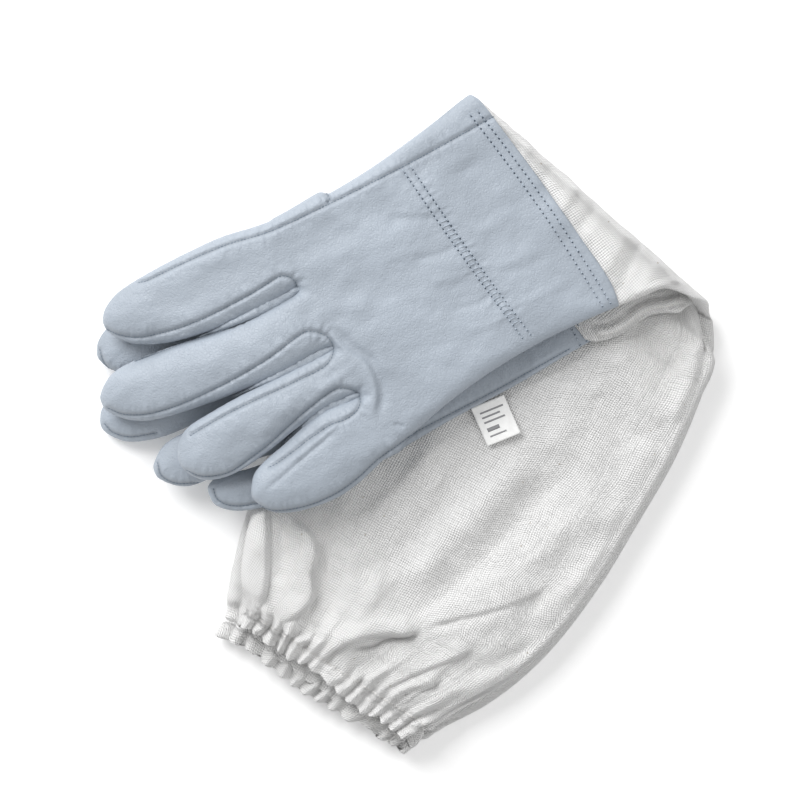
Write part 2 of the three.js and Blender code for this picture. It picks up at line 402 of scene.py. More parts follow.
class Wire:
    """A shader socket that takes part in arithmetic."""

    def __init__(self, graph: "Graph", socket: Optional[bpy.types.NodeSocket]) -> None:
        """Wraps a socket of a graph."""
        self.graph = graph
        self.socket = socket

    def _math(self, operation: str, *values: object) -> "Wire":
        """Adds one Math node."""
        return self.graph.node("ShaderNodeMath", {"operation": operation}, dict(enumerate(values)))

    def __add__(self, other: object) -> "Wire":
        """Sum."""
        return self._math("ADD", self, other)

    def __sub__(self, other: object) -> "Wire":
        """Difference."""
        return self._math("SUBTRACT", self, other)

    def __rsub__(self, other: object) -> "Wire":
        """Reflected difference."""
        return self._math("SUBTRACT", other, self)

    def __mul__(self, other: object) -> "Wire":
        """Product."""
        return self._math("MULTIPLY", self, other)

    def __truediv__(self, other: object) -> "Wire":
        """Quotient."""
        return self._math("DIVIDE", self, other)

    def __pow__(self, other: object) -> "Wire":
        """Power."""
        return self._math("POWER", self, other)

    __radd__ = __add__
    __rmul__ = __mul__

    def apply(self, operation: str, *others: object) -> "Wire":
        """Any other Math operation, by its name."""
        return self._math(operation, self, *others)


class Graph:
    """Node tree of one material."""

    def __init__(self, name: str) -> None:
        """Starts a material with an empty tree."""
        self.material = bpy.data.materials.new(name)
        self.material.use_nodes = True
        self.tree = self.material.node_tree
        self.tree.nodes.clear()

    def node(self, kind: str, settings: dict, inputs: dict, output: object = 0) -> Wire:
        """Adds a node.

        Args:
            kind: Blender's type name.
            settings: Properties set first. "stops" fills a colour ramp.
            inputs: Values or wires, by the input's name or number.
            output: Name or number of the output to give back.

        Returns:
            The chosen output.
        """
        made = self.tree.nodes.new(kind)
        for key, value in settings.items():
            if key == "stops":
                for extra in range(len(value) - 2):
                    made.color_ramp.elements.new(0.5)
                for element, (place, colour) in zip(made.color_ramp.elements, value):
                    element.position = place
                    element.color = colour
            else:
                setattr(made, key, value)
        for key, value in inputs.items():
            socket = made.inputs[key]
            if isinstance(value, Wire):
                self.tree.links.new(value.socket, socket)
            else:
                socket.default_value = value
        return Wire(self, made.outputs[output] if len(made.outputs) else None)

    def mix(self, share: object, first: object, second: object) -> Wire:
        """Colour between two colours."""
        inputs = {0: share, 6: first, 7: second}
        return self.node("ShaderNodeMix", {"data_type": "RGBA"}, inputs, 2)

    def noise(self, vector: object, scale: float, detail: float = 3.0, rough: float = 0.5) -> Wire:
        """Noise from 0 to 1."""
        inputs = {"Vector": vector, "Scale": scale, "Detail": detail, "Roughness": rough}
        return self.node("ShaderNodeTexNoise", {}, inputs, 0)

    def place(self) -> Wire:
        """The surface's own object coordinates, in metres."""
        return self.node("ShaderNodeTexCoord", {}, {}, "Object")

    def attribute(self, name: str) -> Wire:
        """A number stored at the vertices."""
        return self.node("ShaderNodeAttribute", {"attribute_name": name}, {}, "Fac")

    def bump(self, height: Wire, depth: float, strength: float = 1.0) -> Wire:
        """Normal from a height, where depth is the height's full scale in metres."""
        inputs = {"Height": height, "Distance": depth, "Strength": strength}
        return self.node("ShaderNodeBump", {}, inputs, 0)

    def surface(self, inputs: dict) -> bpy.types.Material:
        """Ends the tree in a Principled shader and gives the material."""
        shader = self.node("ShaderNodeBsdfPrincipled", {}, inputs, 0)
        self.node("ShaderNodeOutputMaterial", {}, {"Surface": shader})
        return self.material


Colour = tuple[float, float, float, float]


def shade(colour: Colour, factor: float) -> Colour:
    """A lighter or darker copy of a colour."""
    return (colour[0] * factor, colour[1] * factor, colour[2] * factor, 1.0)


@dataclass(frozen=True)
class LeatherFinish:
    """Soft grain leather."""

    name: str = "pale_blue_leather"
    colour: Colour = (0.350, 0.394, 0.450, 1.0)
    roughness: float = 0.46

    def material(self) -> bpy.types.Material:
        """Grain, fine creases, mottling, leather lighter where it stands proud, and painted shade along the seam
        grooves.
        """
        graph = Graph(self.name)
        place = graph.place()
        cloud = graph.noise(place, 17.0, 4.0, 0.62)
        fine_cloud = graph.noise(place, 120.0, 3.0, 0.6)
        pores = graph.node(
            "ShaderNodeTexVoronoi", {"feature": "F1"}, {"Vector": place, "Scale": 1100.0}, "Distance"
        )
        crackle = graph.node(
            "ShaderNodeTexVoronoi", {"feature": "DISTANCE_TO_EDGE"}, {"Vector": place, "Scale": 620.0},
            "Distance",
        )
        grain = graph.noise(place, 900.0, 3.0, 0.6)
        wrinkle = graph.noise(place, 330.0, 4.0, 0.65)
        seam = graph.attribute("seam")
        worn = graph.attribute("worn")
        tone = graph.mix(cloud, shade(self.colour, 0.80), shade(self.colour, 1.16))
        tone = graph.mix(fine_cloud * 0.35, tone, shade(self.colour, 1.12))
        # Leather lighter where it stands proud and darker in its hollows, following the surface lift.
        tone = graph.mix(worn * 0.5, tone, shade(self.colour, 1.16))
        # Painted shade: the leather is darkened along the seam grooves, from the seam attribute.
        tone = graph.mix(seam.apply("MINIMUM", 1.0) * 0.5, tone, shade(self.colour, 0.36))
        lines = crackle.apply("MINIMUM", 0.16) * 4.0
        tone = graph.mix(wrinkle * 0.2, tone, shade(self.colour, 0.78))
        height = grain * 0.4 + lines * 0.4 - pores * 0.3 + fine_cloud * 1.5 + wrinkle * 0.55
        normal = graph.bump(height, 0.00032, 1.0)
        rough = cloud * 0.1 + fine_cloud * 0.08 + (self.roughness - 0.09)
        return graph.surface(
            {
                "Base Color": tone,
                "Roughness": rough,
                "Normal": normal,
                "Specular IOR Level": 0.5,
                "Sheen Weight": 0.05,
                "Sheen Roughness": 0.5,
            }
        )


@dataclass(frozen=True)
class CanvasFinish:
    """Heavy plain-weave cotton canvas, which follows the cloth's own UV in metres."""

    name: str = "cotton_canvas"
    colour: Colour = (0.87, 0.868, 0.862, 1.0)
    pitch: float = 0.00125

    def material(self) -> bpy.types.Material:
        """Over-and-under threads with uneven yarns, slubs and flecks, and painted shade in the seam grooves."""
        graph = Graph(self.name)
        coords = graph.node("ShaderNodeUVMap", {"uv_map": "cloth"}, {}, 0)
        place = graph.place()
        wander = graph.noise(coords, 90.0, 2.0, 0.5)
        turns = 2 * math.pi / (2 * self.pitch)
        across = graph.node("ShaderNodeSeparateXYZ", {}, {"Vector": coords}, "X") * turns + wander * 3.0
        along = graph.node("ShaderNodeSeparateXYZ", {}, {"Vector": coords}, "Y") * turns + wander * 2.4
        warp = across.apply("SINE")
        weft = along.apply("SINE")
        ribs = warp.apply("ABSOLUTE")
        rows = weft.apply("ABSOLUTE")
        over = (warp * weft) * 0.5 + 0.5
        weave = ribs * over + rows * (1 - over)
        slub_place = graph.node(
            "ShaderNodeMapping", {}, {"Vector": coords, "Scale": (60.0, 900.0, 1.0)}, 0
        )
        slub_across = graph.node(
            "ShaderNodeMapping", {}, {"Vector": coords, "Scale": (900.0, 60.0, 1.0)}, 0
        )
        slub = graph.noise(slub_place, 1.0, 2.0, 0.6) + graph.noise(slub_across, 1.0, 2.0, 0.6)
        fuzz = graph.noise(place, 2400.0, 2.0, 0.6)
        cloud = graph.noise(place, 30.0, 3.0, 0.5)
        fleck = graph.node(
            "ShaderNodeTexVoronoi", {"feature": "F1"}, {"Vector": place, "Scale": 85.0}, "Distance"
        )
        fleck = fleck.apply("LESS_THAN", 0.045)
        tone = graph.mix(weave, shade(self.colour, 0.53), shade(self.colour, 1.1))
        tone = graph.mix(slub * 0.28, tone, shade(self.colour, 1.1))
        tone = graph.mix(cloud * 0.3, tone, shade(self.colour, 0.93))
        tone = graph.mix(fleck * 0.5, tone, (0.40, 0.33, 0.24, 1.0))
        # Painted shade: the canvas is darkened in the grooves beside the felled seam, from the seam attribute.
        seam = graph.attribute("seam")
        tone = graph.mix(seam * 0.4, tone, shade(self.colour, 0.6))
        height = weave * 0.8 + slub * 0.6 + fuzz * 0.3
        normal = graph.bump(height, 0.0008, 1.0)
        return graph.surface(
            {
                "Base Color": tone,
                "Roughness": 0.93,
                "Normal": normal,
                "Specular IOR Level": 0.2,
                "Sheen Weight": 0.25,
                "Sheen Roughness": 0.6,
            }
        )


@dataclass(frozen=True)
class ThreadFinish:
    """Twisted sewing thread, elastic yarn or satin, told apart by colour and gloss."""

    name: str
    colour: Colour
    roughness: float = 0.7
    twist: float = 2600.0

    def material(self) -> bpy.types.Material:
        """Fine twisted ridges with a little colour variation."""
        graph = Graph(self.name)
        place = graph.place()
        ridges = graph.noise(place, self.twist, 2.0, 0.6)
        cloud = graph.noise(place, 300.0, 2.0, 0.5)
        tone = graph.mix(cloud, shade(self.colour, 0.9), shade(self.colour, 1.08))
        normal = graph.bump(ridges, 0.0001, 0.7)
        return graph.surface(
            {
                "Base Color": tone,
                "Roughness": self.roughness,
                "Normal": normal,
                "Specular IOR Level": 0.35,
            }
        )


# ---------------------------------------------------------------------------------------------------------
# Sewing


@dataclass
class Sewing:
    """Rows of stitches, made by one node tree that sets a bead at every step along a path."""

    tree: bpy.types.NodeTree = field(init=False)

    def __post_init__(self) -> None:
        """Builds the tree: a curve in, a realised row of beads out."""
        tree = bpy.data.node_groups.new("stitch_row", "GeometryNodeTree")
        face = tree.interface
        face.new_socket("Geometry", in_out="INPUT", socket_type="NodeSocketGeometry")
        for name in ("Pitch", "Length", "Width", "Turn"):
            face.new_socket(name, in_out="INPUT", socket_type="NodeSocketFloat")
        face.new_socket("Thread", in_out="INPUT", socket_type="NodeSocketMaterial")
        face.new_socket("Geometry", in_out="OUTPUT", socket_type="NodeSocketGeometry")
        make = tree.nodes.new
        given = make("NodeGroupInput")
        result = make("NodeGroupOutput")
        points = make("GeometryNodeCurveToPoints")
        points.mode = "LENGTH"
        bead = make("GeometryNodeMeshIcoSphere")
        bead.inputs["Radius"].default_value = 0.5
        bead.inputs["Subdivisions"].default_value = 2
        size = make("ShaderNodeCombineXYZ")
        scale = make("ShaderNodeVectorMath")
        scale.operation = "MULTIPLY"
        uneven = make("FunctionNodeRandomValue")
        uneven.data_type = "FLOAT"
        uneven.inputs[2].default_value = 0.88
        uneven.inputs[3].default_value = 1.1
        uneven.inputs["Seed"].default_value = 5
        aim = make("FunctionNodeAlignRotationToVector")
        aim.axis = "X"
        lean = make("FunctionNodeAxisAngleToRotation")
        lean.inputs["Axis"].default_value = (0.0, 0.0, 1.0)
        turn = make("FunctionNodeRotateRotation")
        turn.rotation_space = "GLOBAL"
        place = make("GeometryNodeInstanceOnPoints")
        real = make("GeometryNodeRealizeInstances")
        smooth = make("GeometryNodeSetShadeSmooth")
        paint = make("GeometryNodeSetMaterial")
        link = tree.links.new
        link(given.outputs["Geometry"], points.inputs["Curve"])
        link(given.outputs["Pitch"], points.inputs["Length"])
        link(given.outputs["Length"], size.inputs["X"])
        link(given.outputs["Width"], size.inputs["Y"])
        link(given.outputs["Width"], size.inputs["Z"])
        link(size.outputs[0], scale.inputs[0])
        link(uneven.outputs[1], scale.inputs[1])
        link(points.outputs["Tangent"], aim.inputs["Vector"])
        link(aim.outputs["Rotation"], turn.inputs["Rotation"])
        link(given.outputs["Turn"], lean.inputs["Angle"])
        link(lean.outputs["Rotation"], turn.inputs["Rotate By"])
        link(points.outputs["Points"], place.inputs["Points"])
        link(bead.outputs["Mesh"], place.inputs["Instance"])
        link(turn.outputs["Rotation"], place.inputs["Rotation"])
        link(scale.outputs["Vector"], place.inputs["Scale"])
        link(place.outputs["Instances"], real.inputs["Geometry"])
        link(real.outputs["Geometry"], smooth.inputs["Geometry"])
        link(smooth.outputs["Geometry"], paint.inputs["Geometry"])
        link(given.outputs["Thread"], paint.inputs["Material"])
        link(paint.outputs["Geometry"], result.inputs["Geometry"])
        self.tree = tree

    def row(
        self,
        name: str,
        paths: Sequence[Array],
        thread: bpy.types.Material,
        pitch: float = 2.75,
        length: float = 2.1,
        width: float = 0.62,
        turn: float = 0.0,
    ) -> bpy.types.Object:
        """Sews one object along one or more paths.

        Args:
            name: The piece's name.
            paths: Points in millimetres along each row.
            thread: The thread's material.
            pitch: From one stitch to the next.
            length: Of one stitch.
            width: Of the thread.
            turn: Angle of each stitch to its row, in radians.

        Returns:
            A plain mesh of all the stitches.
        """
        curve = bpy.data.curves.new(name, "CURVE")
        curve.dimensions = "3D"
        for path in paths:
            line = curve.splines.new("POLY")
            line.points.add(len(path) - 1)
            for point, (x, y, z) in zip(line.points, path * MM):
                point.co = (x, y, z, 1.0)
        guide = bpy.data.objects.new(name, curve)
        bpy.context.scene.collection.objects.link(guide)
        modifier = guide.modifiers.new("stitches", "NODES")
        modifier.node_group = self.tree
        values = {
            "Pitch": pitch * MM, "Length": length * MM, "Width": width * MM, "Turn": turn, "Thread": thread,
        }
        for item in self.tree.interface.items_tree:
            if item.in_out == "INPUT" and item.name in values:
                modifier[item.identifier] = values[item.name]
        graph = bpy.context.evaluated_depsgraph_get()
        mesh = bpy.data.meshes.new_from_object(guide.evaluated_get(graph))
        bpy.data.objects.remove(guide)
        mesh.name = name
        piece = bpy.data.objects.new(name, mesh)
        bpy.context.scene.collection.objects.link(piece)
        return piece


# ---------------------------------------------------------------------------------------------------------
# Leather hands


@dataclass(frozen=True)
class HandPlane:
    """Turns a hand's own plan coordinates into the frame's."""

    origin: Array
    along: Array
    across: Array

    @classmethod
    def from_joint(cls) -> "HandPlane":
        """Reads the plane from the index finger's knuckle hinge, which lies across the hand."""
        joint = next(j for j in frame["joints"] if j["name"] == "left_index_lift")
        across = np.array(joint["axis"][:2], float)
        along = np.array([across[1], -across[0]])
        knuckle_u, knuckle_v = -20.0, 102.0
        origin = np.array(joint["pos_m"][:2], float) / MM - knuckle_u * along - knuckle_v * across
        return cls(origin, along, across)

    def out(self, place: Array) -> Array:
        """Frame coordinates of rows of (u, v) or (u, v, z)."""
        plan = self.origin + place[:, :1] * self.along + place[:, 1:2] * self.across
        return np.hstack([plan, place[:, 2:]])


@dataclass(frozen=True)
class Stall:
    """One finger of a glove, as rows of (u, low v, high v) from root to tip."""

    finger: str
    rows: Path
    sag_from: float
    sag_depth: float = 15.5
    sag_length: float = 98.0
    root: tuple[float, float] = (14.0, 14.0)
    tip: float = 1.0

    def outline(self) -> Array:
        """Closed outline, which runs on into the palm."""
        low = [(u, a) for u, a, _ in self.rows]
        high = [(u, b) for u, _, b in self.rows]
        point = (low[-1][0] - self.tip, (low[-1][1] + high[-1][1]) / 2)
        loop = [(self.root[0], low[0][1]), *low, point, *high[::-1], (self.root[1], high[0][1])]
        return spline(loop, 150)

    def sag(self, u: Array) -> Array:
        """How far the finger hangs below the palm."""
        return -self.sag_depth * (np.maximum(0, self.sag_from - u) / self.sag_length) ** 1.3


@dataclass
class LeatherHand:
    """The leather of one glove: a hand and its four fingers, one skin that is cut at the knuckles.

    Attributes:
        side: Left or right.
        plane: The hand's plan coordinates.
        stalls: The four fingers.
        low_edge: Palm outline along the little finger's side, from the knuckles to the cuff.
        high_edge: Palm outline along the thumb side, from the knuckles to the cuff.
        knuckles: Palm outline between the fingers, from the thumb side down.
        cuff: The cut edge of the cuff, from the thumb side down.
        creases: Lines that shape the upper face.
        seams: Sewn lines on the upper face, which are grooves with painted shade along them.
        up: Rise of the upper face over the middle, at the palm and at the fingers.
        down: Drop of the lower face under the middle.
        step: Spacing of the skin's net.
    """

    side: Side
    plane: HandPlane
    stalls: tuple[Stall, ...]
    low_edge: Path
    high_edge: Path
    knuckles: Path
    cuff: Path
    creases: tuple[Crease, ...]
    seams: tuple[Crease, ...]
    up: tuple[float, float]
    down: tuple[float, float]
    step: float
    seed: int
    cut_u: float = -28.0
    blend_length: float = 28.0
    pieces: dict[str, bpy.types.Object] = field(default_factory=dict)

    def middle_z(self) -> float:
        """Height of the hand's middle plane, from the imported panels."""
        prefix = self.side.value
        low = min(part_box(f"{prefix}_{panel}_panel")[0].z for panel in ("back", "palm"))
        high = max(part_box(f"{prefix}_{panel}_panel")[1].z for panel in ("back", "palm"))
        return (low + high) / 2 / MM

    def palm_outline(self) -> Array:
        """Closed palm outline, which runs on past the cuff so that the cuff stays open and flat."""
        past = 22.0
        low_end = (self.low_edge[-1][0] + past, self.low_edge[-1][1])
        high_end = (self.high_edge[-1][0] + past, self.high_edge[-1][1] + 3)
        low = spline([*self.low_edge, low_end], 90)
        high = spline([*self.high_edge, high_end], 90)
        return np.vstack([low, high[::-1], np.array(self.knuckles, float)])

    def plan_fields(self, place: Array) -> tuple[Array, Array, Array]:
        """Edge distance, sag and cuff distance at plan points."""
        palm = inside_distance(place, self.palm_outline())
        fingers = np.full(len(place), -1e9)
        sag = np.zeros(len(place))
        for stall in self.stalls:
            distance = inside_distance(place, stall.outline())
            here = distance > fingers
            sag = np.where(here, stall.sag(place[:, 0]), sag)
            fingers = np.where(here, distance, fingers)
        edge = smooth_max(palm, fingers, 3.2)
        apart = smoothstep(-31.0, -25.0, place[:, 0])
        edge = fingers * (1 - apart) + edge * apart
        cuff = spline(self.cuff, 40)
        far = np.array([(-400.0, cuff[-1, 1] - 80), (-400.0, cuff[0, 1] + 80)])
        ends = np.array([cuff[-1] + (0, -80), cuff[0] + (-30, 80)])
        clip = inside_distance(place, np.vstack([cuff, ends[:1], far, ends[1:]]))
        return edge, sag, clip

    def skin(self) -> tuple[Array, Array]:
        """Plain rounded skin in (u, v, z), before seams and creases."""
        outline = np.vstack([s.outline() for s in self.stalls] + [self.palm_outline()])
        margin = 3 * self.step
        low = outline.min(0) - margin
        high = outline.max(0) + margin
        high[0] = max(u for u, _ in self.cuff) + margin
        us = np.arange(low[0], high[0], self.step)
        vs = np.arange(low[1], high[1], self.step)
        place = np.stack(np.meshgrid(us, vs, indexing="ij"), axis=-1).reshape(-1, 2)
        edge, sag, clip = self.plan_fields(place)
        u = place[:, 0]
        finger = smoothstep(-12.0, -46.0, u)
        wrist = smoothstep(20.0, 100.0, u)
        round_off = 8.0 + 6.5 * finger
        up = self.up[0] + (self.up[1] - self.up[0]) * finger - 1.8 * wrist
        down = self.down[0] + (self.down[1] - self.down[0]) * finger - 0.8 * wrist
        sag_range = float(sag[edge > 0].min())
        deep = max(self.down) + margin - sag_range
        zs = np.arange(-deep, max(self.up) + margin, self.step)
        shape = (len(us), len(vs), 1)
        height = zs[None, None, :] - sag.reshape(shape)
        half = np.where(height > 0, up.reshape(shape), down.reshape(shape))
        roll = (np.maximum(0, round_off - edge) / round_off).reshape(shape)
        body = (np.sqrt(roll**2 + (height / half) ** 2) - 1) * 5.0
        values = np.maximum(body, -clip.reshape(shape))
        points, quads = surface_net(values, (us[0], vs[0], zs[0]), self.step)
        points = relax(points, quads, 3)
        points[:, 2] += self.middle_z()
        return points, quads

    def shaped(self, points: Array, quads: Array) -> tuple[Array, Array, Array]:
        """Adds seams, creases and soft unevenness.

        Returns:
            The points, how near each is to a seam, for the painted shade in its groove, and how much it stands proud.
        """
        noise = Noise(self.seed)
        normal = vertex_normals(points, quads)
        place = points[:, :2]
        u, v = place[:, 0], place[:, 1]
        top = smoothstep(0.12, 0.55, normal[:, 2])
        under = smoothstep(0.12, 0.55, -normal[:, 2])
        lift = total_lift(self.seams, place, noise) + total_lift(self.creases, place, noise)
        soft = 1.15 * noise(u / 27, v / 17) + 0.36 * noise(u / 11 + 9, v / 8)
        soft += 0.1 * noise(u / 4.5, v / 3.6 + 4) + 0.035 * noise(u / 1.9, v / 1.7)
        points = points.copy()
        points[:, 2] += top * (lift + soft)
        points[:, 2] += under * (0.5 * soft)
        # Nearness to the seam lines, which the material turns into painted shade in the grooves.
        seam = np.zeros(len(points))
        for line in self.seams:
            distance, _, along = path_distance(place, spline(line.points, 10 * len(line.points)))
            ends = np.minimum(1, np.minimum(along, 1 - along) * 30 + 0.1)
            seam = np.maximum(seam, np.exp(-((distance / 0.75) ** 2)) * ends)
        # Share of how far the surface stands proud, which the material uses to lighten raised leather.
        worn = np.clip(0.5 + 0.8 * (lift + soft), 0, 1)
        return points, seam * top, worn

    def build(self, leather: bpy.types.Material) -> Drop:
        """Makes the hand and finger pieces, and fixes the hand piece to its glove's body.

        Returns:
            The finished skin, for stitches to lie on.
        """
        prefix = self.side.value
        points, quads = self.skin()
        points, seam, worn = self.shaped(points, quads)
        normals = vertex_normals(points, quads)
        centre = points[quads].mean(axis=1)
        owner = np.full(len(quads), -1)
        beyond = centre[:, 0] < self.cut_u
        if self.side is Side.LEFT:
            depth = np.stack([inside_distance(centre[beyond, :2], s.outline()) for s in self.stalls])
            owner[beyond] = depth.argmax(axis=0)
        world = self.plane.out(points)
        turn = np.column_stack([np.append(self.plane.along, 0), np.append(self.plane.across, 0), (0, 0, 1)])
        world_normals = normals @ turn.T
        parts = [("hand", -1)] + [(s.finger, i) for i, s in enumerate(self.stalls)]
        for part, number in parts:
            faces = quads[owner == number]
            if not len(faces):
                continue
            used, local = np.unique(faces, return_inverse=True)
            local = local.reshape(faces.shape)
            piece = make_object(f"{prefix}_{part}_leather", world[used], local, leather)
            set_attribute(piece.data, "seam", seam[used])
            set_attribute(piece.data, "worn", worn[used])
            self.close(piece)
            added = len(piece.data.vertices) - len(used)
            kept = np.vstack([world_normals[used], np.tile(turn[:, 0] * (1 if number < 0 else -1), (added, 1))])
            piece.data.normals_split_custom_set_from_vertices(kept.tolist())
            self.pieces[part] = piece
        self.fasten()
        return Drop(world, quads)

    @staticmethod
    def close(piece: bpy.types.Object) -> None:
        """Closes a piece where it was cut from the hand, with the closing face set in."""
        form = bmesh.new()
        form.from_mesh(piece.data)
        form.normal_update()
        rim = [edge for edge in form.edges if edge.is_boundary]
        if rim:
            made = bmesh.ops.extrude_edge_only(form, edges=rim)["geom"]
            inner = [item for item in made if isinstance(item, bmesh.types.BMVert)]
            outer = {vert for edge in rim for vert in edge.verts}
            for vert in inner:
                source = next(e.other_vert(vert) for e in vert.link_edges if e.other_vert(vert) in outer)
                vert.co = source.co - source.normal * 1.2 * MM
            edges = [item for item in made if isinstance(item, bmesh.types.BMEdge) and item.is_boundary]
            filled = bmesh.ops.holes_fill(form, edges=edges, sides=0)
            bmesh.ops.triangulate(form, faces=filled["faces"])
        form.to_mesh(piece.data)
        form.free()

    def bend_line(self) -> tuple[tuple[float, ...], tuple[float, ...]]:
        """Two frame points across the fingers: at the cut, and one blend length further towards the fingertips."""
        ends = np.array([[self.cut_u, 40.0, 0.0], [self.cut_u - self.blend_length, 40.0, 0.0]])
        start, end = self.plane.out(ends) * MM
        return tuple(start), tuple(end)

    def fasten(self) -> None:
        """Puts the hand piece on its glove's body, leaves the finger pieces where they are made, and hides the
        imported parts that the pieces stand for.
        """
        prefix = self.side.value
        forks = [f"{prefix}_{pair}_fork" for pair in ("index_middle", "middle_ring", "ring_little")]
        nodes = [f"{prefix}_back_panel", f"{prefix}_palm_panel", f"{prefix}_edge_strip"]
        nodes += forks if self.side is Side.RIGHT else []
        for part, piece in self.pieces.items():
            if part == "hand":
                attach(piece, f"{prefix}_glove")
                whole = self.side is Side.RIGHT
                fingers = [f"{prefix}_{s.finger}_finger" for s in self.stalls] if whole else []
                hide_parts(*nodes, *fingers)
            else:
                start, end = self.bend_line()
                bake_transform(piece)
                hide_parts(f"{prefix}_{part}_finger")
            log.info("leather %s %s: %d faces", prefix, part, len(piece.data.polygons))


STITCH_GAP = 4.3
CUFF_ROWS = tuple(bowed((92.0 - gap, 130.5), (117.0 - gap, 17.0), 2.0) for gap in (0.0, STITCH_GAP))
WRIST_ROWS = tuple(bowed((46.5 + gap, 117.0), (70.0 + gap, 17.5), -0.8) for gap in (0.0, STITCH_GAP))
LADDER = bowed((53.5 + STITCH_GAP / 2, 86.0), (67.5 + STITCH_GAP / 2, 26.0), -0.4, 4)


@dataclass(frozen=True)
class Leg:
    """Stretch of a seam that follows one side of a finger.

    Attributes:
        stall: The finger.
        side: Which number of the finger's rows it follows, 1 for the low side or 2 for the high side.
        tip: Where it ends, near the fingertip.
        inset: How far in from that side it runs, at the tip and at the root.
        curve: Power by which the inset changes from tip to root.
    """

    stall: Stall
    side: int
    tip: float
    inset: tuple[float, float]
    curve: float = 1.0

    def points(self, root: float, count: int = 9) -> list[tuple[float, float]]:
        """Points from tip to root, closer together where the fingertip turns."""
        share = np.linspace(0, 1, count) ** 1.4
        us = self.tip + (root - self.tip) * share
        rows = np.array(sorted(self.stall.rows))
        near, far = self.inset
        inset = near + (far - near) * share**self.curve
        inward = 1 if self.side == 1 else -1
        return list(zip(us, np.interp(us, rows[:, 0], rows[:, self.side]) + inward * inset))


def fork_seam(upper: Leg, lower: Leg, root: float, reach: float) -> Path:
    """Seam round a fork: in along one finger, round the crotch in an arc and out along the next."""
    into, out = upper.points(root), lower.points(root)[::-1]
    middle = (into[-1][1] + out[0][1]) / 2
    half = (into[-1][1] - out[0][1]) / 2
    turns = np.radians((60, 30, 0, -30, -60))
    arc = [(root + reach * math.cos(turn), middle + half * math.sin(turn)) for turn in turns]
    return (*into, *arc, *out)


def side_seams(index: Stall, little: Stall) -> tuple[Path, Path]:
    """Seams along the glove's two sides: the index finger's to the cuff, and the little finger's."""
    finger = Leg(index, 2, -96.5, (2.0, 5.2), 0.3).points(-22.0)
    thumb_side = (*finger, *bowed(finger[-1], (98.5, 125.0), -1.5)[1:])
    little_side = (*Leg(little, 1, -82.0, (0.0, 2.5), 0.35).points(-20.0), (-7.0, -8.2), (6.0, -5.0))
    return thumb_side, little_side


